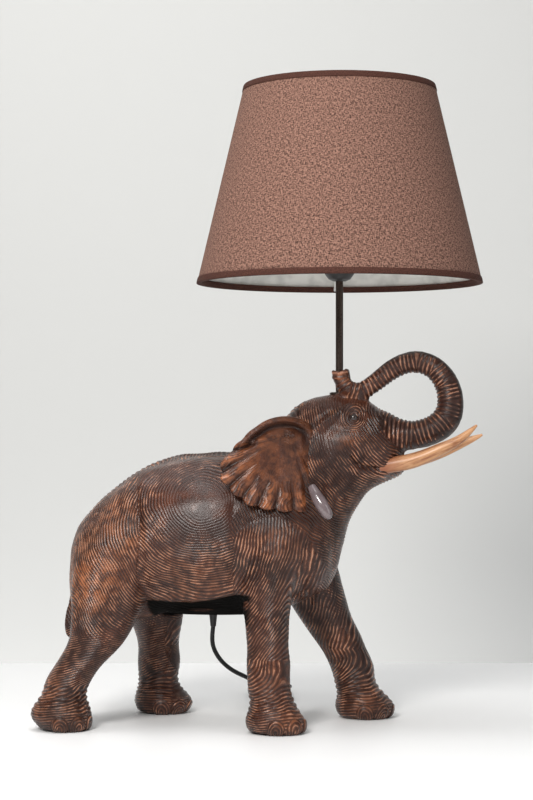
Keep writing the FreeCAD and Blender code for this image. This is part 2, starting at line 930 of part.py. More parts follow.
# ---------------------------------------------------------------- the lead outside

# The put-away lead lies along a line behind the right front foot. A place there is given by how
# far it is along that line, how far to its right, and its height.
LAY_ORIGIN = Vector(10.8, 0, 0)
LAY_TURN = 8.0


def laid(along, right, height):
    turn = Rotation(Vector(0, 0, 1), LAY_TURN)
    return LAY_ORIGIN + turn.multVec(Vector(right, along, height))


def laid_place(along, right, height, heading):
    """A place whose X axis is turned by heading degrees from the line's right."""
    return Placement(laid(along, right, height), Rotation(Vector(0, 0, 1), LAY_TURN + heading))


def switch_at(along, right, height, tilt=0.0):
    """A place in the switch's own frame, whose X runs along the lead."""
    base = laid_place(size("switch_middle"), size("switch_lane"), 0, 90)
    return base * Placement(Vector(along, right, height), Rotation(Vector(0, 1, 0), tilt))


def switch_end(side):
    """The middle of the hole where the lead meets the switch."""
    return switch_at(side * size("switch_length") / 2, 0, size("switch_axis")).Base


def make_lead():
    """The lead from the belly down to the switch, which lies on the floor."""
    x = size("cover_x")
    drop = [
        (x, 0, size("cover_bottom - relief_length")),
        (x - 2.2, 2, 94),
        (x - 0.5, 9, 80),
        (x + 6, 21, 66),
        (x + 17, 36, 53.5),
        (x + 36.5, 58, 41.5),
    ]
    landing = [
        laid(79, -17.5, 31),
        laid(94, -12, 20.5),
        laid(107, -6, 12.8),
        laid(118, -3, 10),
        switch_end(-1),
    ]
    route = [Vector(*point) for point in drop] + landing
    shaped("lead_to_switch", tube_along(route, size("lead_radius")))


def make_short_leads(bundle):
    """The stretches between the switch and the hank, and between the hank and the plug."""
    near, axis = size("hank_near"), size("switch_axis")
    to_hank = [
        switch_end(1),
        laid(near - 2, 0, axis),
        laid(near + 8, 2, axis - 2),
    ]
    relief_end = size("plug_middle - plug_length / 2 - plug_relief")
    plug_axis = size("hank_height + plug_thickness / 2") + 0.1
    lane = size("plug_lane")
    to_plug = [
        laid(relief_end - 0.3, lane, plug_axis),
        laid(relief_end - 11, lane, plug_axis - 1),
        laid(relief_end - 22, lane - 2, plug_axis - 8),
    ]
    for name, route in (("lead_to_hank", to_hank), ("lead_to_plug", to_plug)):
        shaped(name, tube_along(route, size("lead_radius")).cut(bundle.Shape))


def make_hank():
    """The folded lead as one flat-topped bundle, with a groove for the tie round its middle."""
    length, end = size("hank_length"), size("hank_width") / 2
    middle = laid_place(size("hank_near") + length / 2, 0, 0, 0)
    round_ends = []
    for sign in (-1, 1):
        at = middle * Placement(Vector(0, sign * (length / 2 - end), 0), Rotation())
        round_ends.append(rod("hank_width / 2", "hank_height", at))
    straight = block("hank_width", "hank_length - hank_width", "hank_height", middle)

    def core(reach, play):
        """What the tie goes round, along a given reach of the bundle."""
        lift = size("tie_thickness") - play
        return block(
            f"hank_width - 2 * tie_thickness + 2 * {play}",
            reach,
            f"hank_height - 2 * tie_thickness + 2 * {play}",
            middle * Placement(Vector(0, 0, lift), Rotation()),
        )

    under = middle * Placement(Vector(0, 0, -2), Rotation())
    groove = cut(block("hank_width + 4", "tie_width", "hank_height + 4", under), core("tie_width + 2", 0))
    bundle = name_piece(cut(joined(straight, *round_ends), groove), "lead_hank")
    outside = block("hank_width", "tie_width - 0.4", "hank_height", middle)
    name_piece(cut(outside, core("tie_width + 2", 0.05)), "lead_tie")
    doc.recompute()
    return bundle


SWITCH_SCREWS = ((-21, -7), (21, 7))


def half_shell(height, foot, floor):
    """One half of the switch's case: a rounded tray, open towards the other half."""
    blank = block("switch_length", "switch_width", height)
    blank = rounded(blank, 6, runs_along_z)
    hollow = block(
        "switch_length - 2 * switch_wall",
        "switch_width - 2 * switch_wall",
        f"{height} - switch_wall",
        Placement(Vector(0, 0, floor), Rotation()),
    )
    lead_hole = rod(
        "lead_radius + 0.05",
        "switch_length + 4",
        Placement(Vector(-size("switch_length") / 2 - 2, 0, size("switch_axis") - foot), Rotation(Vector(0, 1, 0), 90)),
    )
    screw_holes = [
        rod("1.4", "switch_height - 1", Placement(Vector(along, right, 0.5 - foot), Rotation()))
        for along, right in SWITCH_SCREWS
    ]
    return cut(blank, hollow, lead_hole, *screw_holes)


def make_switch():
    """A two-part case with a rocker on a pin, its contacts and the screws that close the case."""
    base = half_shell("switch_split", 0, size("switch_wall"))
    base.Placement = switch_at(0, 0, 0)
    name_piece(base, "switch_base")
    split = size("switch_split")
    cover = half_shell("switch_height - switch_split - 0.05", split + 0.05, 0)
    window = block(
        "rocker_length + 1.2", "rocker_width + 0.8", "20", Placement(Vector(0, 0, 2), Rotation())
    )
    pivot = size("switch_height - switch_wall") - 1.5
    pin_hole = rod(
        "1",
        "switch_width - 1",
        Placement(
            Vector(0, -size("switch_width") / 2 + 0.5, pivot - split - 0.05), Rotation(Vector(1, 0, 0), -90)
        ),
    )
    cover = cut(cover, window, pin_hole)
    cover.Placement = switch_at(0, 0, split + 0.05)
    name_piece(cover, "switch_cover")
    tilt = size("rocker_throw")
    rocker = block(
        "rocker_length", "rocker_width", "rocker_height", Placement(Vector(0, 0, -3.4), Rotation())
    )
    eye = rod("1.05", "rocker_width + 4", Placement(Vector(0, -6, 0), Rotation(Vector(1, 0, 0), -90)))
    rocker = cut(rocker, eye)
    rocker.Placement = switch_at(0, 0, pivot, tilt)
    name_piece(rocker, "switch_rocker")
    pin_place = switch_at(0, 0, pivot) * Placement(
        Vector(0, -size("switch_width") / 2 + 0.5, 0), Rotation(Vector(1, 0, 0), -90)
    )
    name_piece(rod("1", "switch_width - 1", pin_place), "switch_pin")
    contacts = []
    for side in (-1, 1):
        contacts.append(block("3", "5", "3", switch_at(side * 9, 4, size("switch_wall"))))
        contacts.append(block("14", "3", "2", switch_at(side * 12, -6, size("switch_wall"))))
    group("switch_contacts", contacts)
    screws = [
        rod("1.4", "switch_height - 1", switch_at(along, right, 0.5)) for along, right in SWITCH_SCREWS
    ]
    group("switch_screws", screws)


def make_plug():
    """A flat two-pin plug lying on the hank, with its tapered relief."""
    place = laid_place(size("plug_middle"), size("plug_lane"), size("hank_height") + 0.1, -90)
    body = doc.addObject("PartDesign::Body", "plug_body")
    outline = outline_sketch(
        body,
        "XY_Plane",
        [
            ("-plug_length", "-plug_width / 2"),
            ("-plug_length * 0.45", "-plug_width / 2"),
            ("0", "-plug_neck / 2"),
            ("0", "plug_neck / 2"),
            ("-plug_length * 0.45", "plug_width / 2"),
            ("-plug_length", "plug_width / 2"),
        ],
    )
    pad = body.newObject("PartDesign::Pad", "plug_pad")
    pad.Profile = outline
    bind(pad, Length="plug_thickness")
    doc.recompute()
    soft = body.newObject("PartDesign::Fillet", "plug_edges")
    soft.Base = (pad, ["Face7", "Face8"])
    soft.Radius = 2.5
    body.Tip = soft
    body.Placement = place * Placement(Vector(size("plug_length") / 2, 0, 0), Rotation())
    name_piece(body, "plug_body")
    face = Vector(-size("plug_length") / 2, 0, size("plug_thickness") / 2)
    pins = []
    for side in (-1, 1):
        at = place * Placement(face + Vector(0, side * size("pin_spacing") / 2, 0), Rotation(Vector(0, 1, 0), -90))
        pins.append(rod("pin_radius", "pin_length", at))
    group("plug_pins", pins)
    relief = doc.addObject("Part::Cone", "relief")
    bind(relief, Radius1="5", Radius2="relief_tip", Height="plug_relief")
    neck_end = place * Placement(Vector(size("plug_length") / 2, 0, size("plug_thickness") / 2), Rotation())
    relief.Placement = neck_end * Placement(Vector(0, 0, 0), Rotation(Vector(0, 1, 0), 90))
    name_piece(relief, "plug_relief")


# ---------------------------------------------------------------- check and write


def check_and_write():
    """Stops on a failed object or a bad shape, then writes every piece to its own file."""
    doc.recompute()
    failed = [thing.Name for thing in doc.Objects if {"Invalid", "Error"} & set(thing.State)]
    if failed:
        raise RuntimeError(f"these objects failed: {failed}")
    os.makedirs("parts", exist_ok=True)
    for piece in finished:
        if piece.Shape.isNull() or not piece.Shape.isValid() or not piece.Shape.Solids:
            raise RuntimeError(f"{piece.Label} has no valid shape")
    for piece in finished:
        piece.Shape.exportStep(f"parts/{piece.Label}.step")
        box = piece.Shape.BoundBox
        print(
            f"{piece.Label}: {len(piece.Shape.Solids)} solids, {piece.Shape.Volume / 1000:.2f} cm3,"
            f" x {box.XMin:.1f}..{box.XMax:.1f} y {box.YMin:.1f}..{box.YMax:.1f} z {box.ZMin:.1f}..{box.ZMax:.1f}"
        )


make_elephant()
make_underside()
make_pole()
make_inner_lead()
make_holder()
make_bulb()
make_shade()
make_lead()
make_short_leads(make_hank())
make_switch()
make_plug()
check_and_write()
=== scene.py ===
"""The looks of a table lamp: a carved-look elephant whose trunk curls back by the pole of its shade.

Lengths are written in millimetres and turned into Blender's metres by MM. The frame is the CAD
model's: +X towards the elephant's head, +Y towards its left side, +Z up.
"""
import math

import bmesh
import bpy
import numpy as np
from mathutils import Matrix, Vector


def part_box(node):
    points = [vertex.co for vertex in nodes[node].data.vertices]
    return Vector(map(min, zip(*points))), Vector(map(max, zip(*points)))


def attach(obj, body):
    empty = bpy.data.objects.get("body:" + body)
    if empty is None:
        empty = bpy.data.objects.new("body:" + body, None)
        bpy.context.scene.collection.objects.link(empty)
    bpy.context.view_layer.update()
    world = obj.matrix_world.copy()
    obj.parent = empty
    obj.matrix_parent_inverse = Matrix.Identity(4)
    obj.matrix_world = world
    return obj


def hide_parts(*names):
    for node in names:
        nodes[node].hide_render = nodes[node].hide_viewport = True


MM = 0.001

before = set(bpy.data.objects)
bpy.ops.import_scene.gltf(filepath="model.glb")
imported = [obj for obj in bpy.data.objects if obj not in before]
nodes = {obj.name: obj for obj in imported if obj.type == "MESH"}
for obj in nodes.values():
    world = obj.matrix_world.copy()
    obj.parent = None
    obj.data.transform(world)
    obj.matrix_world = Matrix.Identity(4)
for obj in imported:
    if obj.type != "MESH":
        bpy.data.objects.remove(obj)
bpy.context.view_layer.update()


# -------- small helpers


def smoothstep(low, high, value):
    """0 at low and 1 at high with a soft rise; it falls where low is the larger one."""
    t = np.clip((value - low) / (high - low), 0.0, 1.0)
    return t * t * (3.0 - 2.0 * t)


def waves(points, length, seed, count=7):
    """A smooth random field of about -1 to 1 whose bumps are a given length apart."""
    rng = np.random.default_rng(seed)
    total = np.zeros(len(points))
    for _ in range(count):
        direction = rng.normal(size=3)
        direction /= np.linalg.norm(direction)
        pitch = length * rng.uniform(0.7, 1.5)
        total += np.sin(points @ direction * (2 * math.pi / pitch) + rng.uniform(0, 2 * math.pi))
    return total / math.sqrt(count)


def nearest_run(points, path):
    """Each point's nearest run of a path of straight runs: its number, the distance along the
    path to there, and the point's offset from it."""
    path = np.asarray(path, float)
    best = np.full(len(points), np.inf)
    number = np.zeros(len(points), int)
    reach = np.zeros(len(points))
    offset = np.zeros_like(points)
    start = 0.0
    for index, (a, b) in enumerate(zip(path[:-1], path[1:])):
        length = np.linalg.norm(b - a)
        t = np.clip((points - a) @ (b - a) / length**2, 0.0, 1.0)
        gap = points - a - t[:, None] * (b - a)
        off = np.linalg.norm(gap, axis=1)
        nearer = off < best
        best[nearer] = off[nearer]
        number[nearer] = index
        reach[nearer] = start + t[nearer] * length
        offset[nearer] = gap[nearer]
        start += length
    return number, reach, offset


def read_points(mesh):
    """A mesh's vertices in millimetres, one row each."""
    flat = np.empty(len(mesh.vertices) * 3)
    mesh.vertices.foreach_get("co", flat)
    return flat.reshape(-1, 3) / MM


def write_points(mesh, points):
    """Moves a mesh's vertices to places in millimetres."""
    mesh.vertices.foreach_set("co", (points * MM).ravel())
    mesh.update()


def normals_of(mesh):
    """A mesh's vertex normals, one row each."""
    flat = np.empty(len(mesh.vertices) * 3)
    mesh.vertex_normals.foreach_get("vector", flat)
    return flat.reshape(-1, 3)


def store(mesh, name, values):
    """Keeps one number for each vertex, for a material to read."""
    layer = mesh.attributes.new(name, "FLOAT", "POINT")
    layer.data.foreach_set("value", np.asarray(values, np.float32))


def add_object(name, data):
    thing = bpy.data.objects.new(name, data)
    bpy.context.scene.collection.objects.link(thing)
    return thing


def mesh_object(name, points, faces, material):
    """A smooth object from points in millimetres."""
    mesh = bpy.data.meshes.new(name)
    mesh.from_pydata([tuple(MM * c for c in p) for p in points], [], faces)
    mesh.validate()
    mesh.shade_smooth()
    mesh.materials.append(material)
    return add_object(name, mesh)


def grid_faces(rows, columns, closed=True):
    """Quads over rows of points; closed joins each row's end to its start."""
    faces = []
    for row in range(rows - 1):
        here = row * columns
        above = here + columns
        for c in range(columns if closed else columns - 1):
            after = (c + 1) % columns
            faces.append((here + c, here + after, above + after, above + c))
    return faces


def apply_modifiers(thing):
    """Swaps the object's mesh for the one that its modifiers make."""
    graph = bpy.context.evaluated_depsgraph_get()
    made = bpy.data.meshes.new_from_object(thing.evaluated_get(graph))
    old = thing.data
    thing.modifiers.clear()
    thing.data = made
    bpy.data.meshes.remove(old)


# -------- materials


class Shader:
    """A material's node tree with short calls for the nodes that are used here."""

    def __init__(self, name):
        self.material = bpy.data.materials.new(name)
        self.material.use_nodes = True
        self.tree = self.material.node_tree
        self.main = self.tree.nodes["Principled BSDF"]

    def put(self, socket, value):
        """Links an output to the socket, or sets the socket to a value."""
        if isinstance(value, bpy.types.NodeSocket):
            self.tree.links.new(value, socket)
        else:
            socket.default_value = value

    def fill(self, node, inputs):
        """Puts values by input name, with underscores for the spaces in the names."""
        for key, value in inputs.items():
            self.put(node.inputs[key.replace("_", " ")], value)

    def node(self, kind, **inputs):
        made = self.tree.nodes.new("ShaderNode" + kind)
        self.fill(made, inputs)
        return made

    def set(self, **inputs):
        """Sets the main shader's inputs."""
        self.fill(self.main, inputs)

    def math(self, operation, *values):
        made = self.node("Math")
        made.operation = operation
        for socket, value in zip(made.inputs, values):
            self.put(socket, value)
        return made.outputs[0]

    def plus(self, a, b):
        return self.math("ADD", a, b)

    def times(self, a, b):
        return self.math("MULTIPLY", a, b)

    def split(self, vector):
        """The X, Y and Z of a vector."""
        return self.node("SeparateXYZ", Vector=vector).outputs

    def attribute(self, name):
        made = self.node("Attribute")
        made.attribute_name = name
        return made.outputs["Fac"]

    def place(self, scale=(1, 1, 1), turn=(0, 0, 0)):
        """Object coordinates, turned by angles in degrees and then stretched by scale."""
        vector = self.node("TexCoord").outputs["Object"]
        angles = [math.radians(angle) for angle in turn]
        turned = self.node("Mapping", Vector=vector, Rotation=angles)
        return self.node("Mapping", Vector=turned.outputs[0], Scale=scale).outputs[0]

    def noise(self, vector, size_mm, detail=3.0, roughness=0.55):
        made = self.node("TexNoise", Vector=vector, Detail=detail, Roughness=roughness)
        made.inputs["Scale"].default_value = 1 / (size_mm * MM)
        return made.outputs["Fac"]

    def ramp(self, value, low, high, out_low=0.0, out_high=1.0):
        """A soft step from out_low to out_high as the value goes from low to high."""
        made = self.node("MapRange", Value=value, From_Min=low, From_Max=high)
        self.fill(made, {"To_Min": out_low, "To_Max": out_high})
        made.interpolation_type = "SMOOTHSTEP"
        return made.outputs[0]

    def mix(self, amount, a, b):
        """The colour a where the amount is 0, and b where it is 1."""
        made = self.node("Mix")
        made.data_type = "RGBA"
        self.put(made.inputs["Factor"], amount)
        for socket, value in ((made.inputs[6], a), (made.inputs[7], b)):
            self.put(socket, value if isinstance(value, bpy.types.NodeSocket) else (*value, 1.0))
        return made.outputs[2]

    def bump(self, height, depth_mm, strength):
        """Fine relief on the main shader."""
        made = self.node("Bump", Height=height, Distance=depth_mm * MM, Strength=strength)
        self.put(self.main.inputs["Normal"], made.outputs[0])


# from one carved ridge to the next
LINE_SPACING = 2.9


def carved_lines(shader, place, wobble_mm):
    """The carved ridges of the three line fields: 1 on a ridge's crest, -1 in a groove."""
    sway = shader.times(shader.noise(place, 16, 2.0), wobble_mm)
    total = None
    for letter in "abc":
        field = shader.plus(shader.attribute(f"flow_{letter}"), sway)
        wave = shader.math("SINE", shader.times(field, 2 * math.pi / LINE_SPACING))
        part = shader.times(wave, shader.attribute(f"share_{letter}"))
        total = part if total is None else shader.plus(total, part)
    return total


def carved_resin(name, line_strength=1.0):
    """Dark stained resin with fine carved lines whose raised edges are rubbed lighter."""
    s = Shader(name)
    place = s.place()
    fine = s.noise(place, 1.3, 4.0)
    blotch = s.noise(place, 24, 5.0)
    broad = s.noise(place, 70, 3.0)
    ridge = carved_lines(s, place, 1.6)
    uneven = s.plus(ridge, s.ramp(s.noise(place, 9, 3.0), 0.3, 0.7, -0.45, 0.30))
    thin = s.ramp(uneven, 0.58, 1.08)
    groove = s.ramp(uneven, 0.0, -1.0)
    patchy = s.ramp(blotch, 0.36, 0.58, 0.25, 1.0)
    light = s.times(s.times(thin, patchy), 0.85 * line_strength)
    base = s.mix(s.ramp(broad, 0.38, 0.62), (0.028, 0.0092, 0.0055), (0.064, 0.0205, 0.0115))
    base = s.mix(s.ramp(blotch, 0.48, 0.72, 0.0, 0.65), base, (0.118, 0.039, 0.020))
    worn = s.times(s.attribute("worn"), s.ramp(s.noise(place, 10, 5.0), 0.40, 0.62, 0.12, 1.0))
    base = s.mix(worn, base, (0.38, 0.128, 0.050))
    base = s.mix(light, base, (0.47, 0.225, 0.135))
    base = s.mix(s.times(groove, 0.70), base, (0.012, 0.0050, 0.0035))
    # the dark attribute darkens the trunk's outer strip, a real tone, and paints shade under the ears
    # and in the ear's rim hollow
    base = s.mix(s.attribute("dark"), base, (0.013, 0.0065, 0.0055))
    base = s.mix(s.ramp(fine, 0.56, 0.74, 0.0, 0.35), base, (0.010, 0.0045, 0.0035))
    # the black attribute is a painted shadow on the belly's downward faces: near black, with less
    # specular and more roughness
    base = s.mix(s.attribute("black"), base, (0.006, 0.0055, 0.005))
    s.set(Base_Color=base, Specular_IOR_Level=s.ramp(s.attribute("black"), 0.0, 1.0, 0.36, 0.04))
    dull = s.times(s.attribute("black"), 0.4)
    s.set(Roughness=s.plus(s.ramp(blotch, 0.3, 0.7, 0.40, 0.24), dull))
    s.bump(s.plus(s.times(ridge, 0.5), s.times(fine, 0.6)), 0.55, 0.9)
    return s.material


def tusk_resin():
    """Tan resin with brown streaks along the tusk and a reddish stain at its root."""
    s = Shader("tusk_resin_look")
    streaks = s.noise(s.place((0.05, 1, 1), (0, 22, 0)), 3.0, 4.0)
    blotch = s.noise(s.place(), 22, 3.0)
    base = s.mix(s.ramp(streaks, 0.40, 0.66), (0.52, 0.265, 0.125), (0.24, 0.088, 0.036))
    base = s.mix(s.ramp(blotch, 0.50, 0.75, 0.0, 0.5), base, (0.60, 0.34, 0.175))
    root = s.ramp(s.split(s.place())["X"], 0.172, 0.140)
    base = s.mix(s.times(root, 0.8), base, (0.25, 0.075, 0.035))
    s.set(Base_Color=base, Roughness=0.36, Specular_IOR_Level=0.45)
    s.bump(streaks, 0.12, 0.5)
    return s.material


def plain(name, colour, roughness, grain_mm=1.2, grain_depth=0.05, metallic=0.0, **more):
    """A moulded, painted or metal surface with a fine grain and slight colour change."""
    s = Shader(name)
    grain = s.noise(s.place(), grain_mm, 3.0)
    cloud = s.noise(s.place(), 18, 2.0)
    darker = tuple(c * 0.78 for c in colour)
    s.set(Base_Color=s.mix(s.ramp(cloud, 0.35, 0.7), colour, darker), Metallic=metallic)
    s.set(Roughness=s.ramp(grain, 0.25, 0.75, roughness * 0.85, min(1.0, roughness * 1.2)), **more)
    s.bump(grain, grain_depth, 0.7)
    return s.material


def even(name, colour, roughness):
    """One colour all over, for what stands round the object."""
    s = Shader(name)
    s.set(Base_Color=(*colour, 1), Roughness=roughness)
    return s.material


# how far each fleck noise is stretched, and its turn in degrees
FLECKS = [((0.30, 1, 1), 40), ((1, 0.30, 1), 40), ((0.30, 1, 1), 0), ((1, 0.30, 1), 0)]


def woven(name, light, dark, thread_mm):
    """A plain weave whose uneven threads show as short diagonal flecks; UV is in metres."""
    s = Shader(name)
    uv = s.node("TexCoord").outputs["UV"]
    split = s.split(uv)
    pitch = 2 * math.pi / (thread_mm * MM)
    across = s.math("SINE", s.times(split["X"], pitch))
    upward = s.math("SINE", s.times(split["Y"], pitch))
    weave = s.times(across, upward)
    flecks = []
    for stretch, angle in FLECKS:
        turn = (0, 0, math.radians(angle))
        mapping = s.node("Mapping", Vector=uv, Rotation=turn, Scale=stretch)
        flecks.append(s.noise(mapping.outputs[0], thread_mm * 0.75, 2.0))
    fleck = s.plus(s.plus(flecks[0], flecks[1]), s.plus(flecks[2], flecks[3]))
    tone = s.plus(s.ramp(fleck, 1.66, 2.36), s.times(weave, 0.22))
    s.set(Base_Color=s.mix(tone, dark, light), Roughness=0.85, Specular_IOR_Level=0.15)
    s.bump(s.plus(s.times(weave, 0.5), fleck), 0.22, 0.8)
    return s.material


def frosted_glass():
    """A bulb's white glass, which lets some light through."""
    s = Shader("bulb_frost")
    s.set(Base_Color=(0.93, 0.92, 0.89, 1), Roughness=0.5, Transmission_Weight=0.25)
    s.set(Subsurface_Weight=0.4, Subsurface_Radius=(0.01, 0.01, 0.009))
    s.bump(s.noise(s.place(), 0.6), 0.03, 0.4)
    return s.material


def brushed(name, colour, roughness):
    """Metal with fine marks round the upright axis."""
    s = Shader(name)
    marks = s.noise(s.place((0.2, 0.2, 5)), 0.8, 3.0)
    s.set(Base_Color=(*colour, 1), Metallic=1.0)
    s.set(Roughness=s.ramp(marks, 0.3, 0.7, roughness * 0.8, roughness * 1.3))
    s.bump(marks, 0.03, 0.5)
    return s.material


# -------- the elephant's skin

# The trunk's middle line from the face to its tip, and its radius at each of these places.
TRUNK_PATH = [
    (128, 0, 324), (152, 0, 323), (172, 0, 322), (193, 0, 329), (207.5, 0, 341.5), (211, 0, 359),
    (206.5, 0, 379), (193, 0, 396), (174, 0, 403), (155, -1, 399), (138, -3, 388), (124, -6, 377),
    (111, -10, 371), (99, -13.5, 374), (92, -14.4, 383), (91, -14.6, 394),
]
TRUNK_RADII = [25, 18.6, 15.8, 15.8, 15.6, 14.6, 13.6, 12.6, 12.2, 11.5, 10.8, 10.2, 9.4, 9, 9.4, 10.2]
# Each foot's centre in X and Y, and its radius: right and left front, then right and left rear.
FEET = [(26.5, -68, 32), (109.7, 68, 32), (-208, -77, 31.5), (-125.5, 76, 31.5)]
# The way round each foot to its toes' middles, in degrees from straight ahead.
TOE_ANGLES = (-84, -42, 0, 42, 84)
# Places in X and Z: the eye, and the middles of the rings of carved lines.
EYE = (107, 341)
FLANK_CENTRE = (-50, 252)
THIGH_CENTRE = (-48, 228)
NECK_CENTRE = (172, 352)
# Each crease's places in X and Z, its depth (a ridge where that is negative) and its half width.
CREASES = [
    ([(-131, 270), (-124, 235), (-120, 190), (-117, 145)], 3.0, 6.5),
    ([(68, 222), (60, 195), (54, 160), (50, 128)], 2.6, 5.5),
    ([(-18, 245), (-15, 200), (-18, 156)], 1.8, 6.0),
    ([(106, 298), (112, 290), (122, 286.5), (136, 284.5), (154, 284)], 3.4, 2.6),
    ([(108, 285), (122, 280.5), (138, 277.5)], -1.6, 3.6),
    ([(90, 352), (104, 355), (117, 348)], -2.4, 5.0),
    ([(84, 333), (76, 322), (76, 300), (84, 276)], 2.2, 7.0),
    ([(-118, 147), (-95, 143), (-70, 143.5), (-45, 147.5), (-18, 156)], -2.6, 4.5),
    ([(-112, 137), (-90, 133), (-60, 133), (-30, 138), (-8, 143)], 3.4, 6.0),
    ([(71, 332), (82, 341), (93, 347)], -2.2, 3.2),
    ([(68, 338), (79, 347), (90, 354)], 1.8, 3.0),
]
# X, Z, reach and height of the soft swellings (hollows where the height is negative).
BULGES = [
    (118, 304, 15, 2.6),
    (-50, 236, 46, 3.0),
    (-165, 190, 42, 3.0),
    (-128, 268, 18, 2.5),
    (28, 205, 30, 3.0),
    (96, 330, 9, -1.6),
    (107, 341, 12, -2.0),
    (107, 341, 5.5, 2.6),
]
# X, Z, reach and strength of the places that are rubbed orange, on both sides.
WORN_SPOTS = [
    (-172, 172, 30, 0.75), (-150, 232, 20, 0.6), (-182, 150, 26, 0.6), (-222, 50, 13, 0.9),
    (-133, 205, 14, 0.5), (-62, 160, 34, 0.3), (36, 215, 22, 0.35), (88, 388, 12, 0.8),
    (46, 14, 16, 0.45), (-200, 14, 20, 0.3), (112, 22, 20, 0.35), (100, 322, 14, 0.35),
    (20, 60, 22, 0.25), (80, 84, 20, 0.25), (-236, 22, 10, 0.5),
]


# How the plugs that fill the casting's openings overlap its walls, and their sizes.
PLUG_OVERLAP = 1.0
COVER_PLUG_DEPTH = 12.0
BORE_PLUG_RADIUS, BORE_PLUG_DEPTH = 8.0, 32.0
TUSK_ROOT, TUSK_PLUG_RADIUS = (136.0, 20.0, 288.0), 13.0
SKIN_VOXEL = 3.6


def add_drum(build, segments, radius, depth):
    """A closed upright drum round the origin, in metres; gives back its vertices."""
    return bmesh.ops.create_cone(
        build, cap_ends=True, segments=segments, radius1=radius, radius2=radius, depth=depth
    )["verts"]


def fill_openings(build):
    """Plugs the belly's opening, the pole's bore and the tusks' sockets."""
    low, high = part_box("belly_cover")
    middle = (low + high) / 2
    for vertex in add_drum(build, 64, 1, COVER_PLUG_DEPTH * MM):
        vertex.co.x = middle.x + vertex.co.x * ((high.x - low.x) / 2 + PLUG_OVERLAP * MM)
        vertex.co.y = middle.y + vertex.co.y * ((high.y - low.y) / 2 + PLUG_OVERLAP * MM)
        vertex.co.z += low.z + COVER_PLUG_DEPTH / 2 * MM
    low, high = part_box("pole")
    plug_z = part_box("pole_collar")[0].z - (BORE_PLUG_DEPTH / 2 + PLUG_OVERLAP / 2) * MM
    for vertex in add_drum(build, 24, BORE_PLUG_RADIUS * MM, BORE_PLUG_DEPTH * MM):
        vertex.co += Vector(((low.x + high.x) / 2, 0, plug_z))
    x, y, z = TUSK_ROOT
    for side in (-1, 1):
        made = bmesh.ops.create_icosphere(build, subdivisions=3, radius=TUSK_PLUG_RADIUS * MM)
        for vertex in made["verts"]:
            vertex.co += Vector((x, side * y, z)) * MM


def edit_mesh(mesh, change):
    """Runs a change on the mesh's editable form."""
    build = bmesh.new()
    build.from_mesh(mesh)
    change(build)
    build.to_mesh(mesh)
    build.free()


def sealed_casting():
    """The casting's outer skin: its openings are filled and the hollow inside is dropped."""
    skin = add_object("elephant_skin", nodes["elephant_casting"].data.copy())
    edit_mesh(skin.data, fill_openings)
    remesh = skin.modifiers.new("even", "REMESH")
    remesh.mode = "VOXEL"
    remesh.voxel_size = SKIN_VOXEL * MM
    apply_modifiers(skin)
    edit_mesh(skin.data, drop_inner_parts)
    return skin


def drop_inner_parts(build):
    """Keeps only the part of the mesh that is joined to its furthest vertex along X."""
    start = max(build.verts, key=lambda vertex: vertex.co.x)
    seen = {start}
    edge_of_search = [start]
    while edge_of_search:
        vertex = edge_of_search.pop()
        for edge in vertex.link_edges:
            other = edge.other_vert(vertex)
            if other not in seen:
                seen.add(other)
                edge_of_search.append(other)
    bmesh.ops.delete(build, geom=[v for v in build.verts if v not in seen], context="VERTS")


def relax(mesh, rounds):
    """Taubin smoothing, which softens the joins without thinning the legs."""
    edges = np.empty(len(mesh.edges) * 2, np.int64)
    mesh.edges.foreach_get("vertices", edges)
    edges = edges.reshape(-1, 2)
    count = np.bincount(edges.ravel(), minlength=len(mesh.vertices))[:, None]
    points = read_points(mesh)
    for _ in range(rounds):
        for weight in (0.5, -0.52):
            total = np.zeros_like(points)
            for axis in range(3):
                total[:, axis] += np.bincount(edges[:, 0], points[edges[:, 1], axis], len(points))
                total[:, axis] += np.bincount(edges[:, 1], points[edges[:, 0], axis], len(points))
            points += weight * (total / count - points)
    write_points(mesh, points)


def flat_path_distance(points, path):
    """Distance in the side view from a path of X and Z places."""
    offset = nearest_run(points * (1, 0, 1), [(x, 0, z) for x, z in path])[2]
    return np.linalg.norm(offset, axis=1)


def trunk_measures(points):
    """Each point's distance along the trunk, how far it belongs to the trunk, and how far it
    lies towards the outside of the trunk's curl: 1 on its outer face."""
    number, reach, offset = nearest_run(points, TRUNK_PATH)
    runs = np.diff(np.array(TRUNK_PATH, float), axis=0)
    lengths = np.linalg.norm(runs, axis=1)
    radius = np.interp(reach, np.cumsum([0, *lengths]), TRUNK_RADII)
    off = np.linalg.norm(offset, axis=1)
    member = smoothstep(1.5, 1.25, off / radius) * smoothstep(3, 14, reach)
    outward = np.stack([runs[:, 2], 0 * lengths, -runs[:, 0]], 1) / lengths[:, None]
    side = (offset * outward[number]).sum(1) / np.array(TRUNK_RADII)[number]
    return reach, member, side


def leg_fields(x, y, z):
    """The line fields that ring the front legs and the rear legs, and tilt as they rise."""
    slope = np.radians(np.interp(z, [20, 45, 80, 150, 240], [0, 18, 44, 50, 62]))
    right_x = np.interp(z, [0, 60, 120, 200], [26, 18, 15, 20])
    left_x = np.interp(z, [0, 60, 120, 200], [110, 94, 62, 34])
    front = z * np.cos(slope) - (x - np.where(y < 0, right_x, left_x)) * np.sin(slope)
    slope = np.radians(np.interp(z, [20, 50, 110], [0, 24, 12]))
    right_x = np.interp(z, [0, 50, 120], [-208, -203, -166])
    rear = z * np.cos(slope) - (x - np.where(y < 0, right_x, -130.0)) * np.sin(slope)
    return front, rear


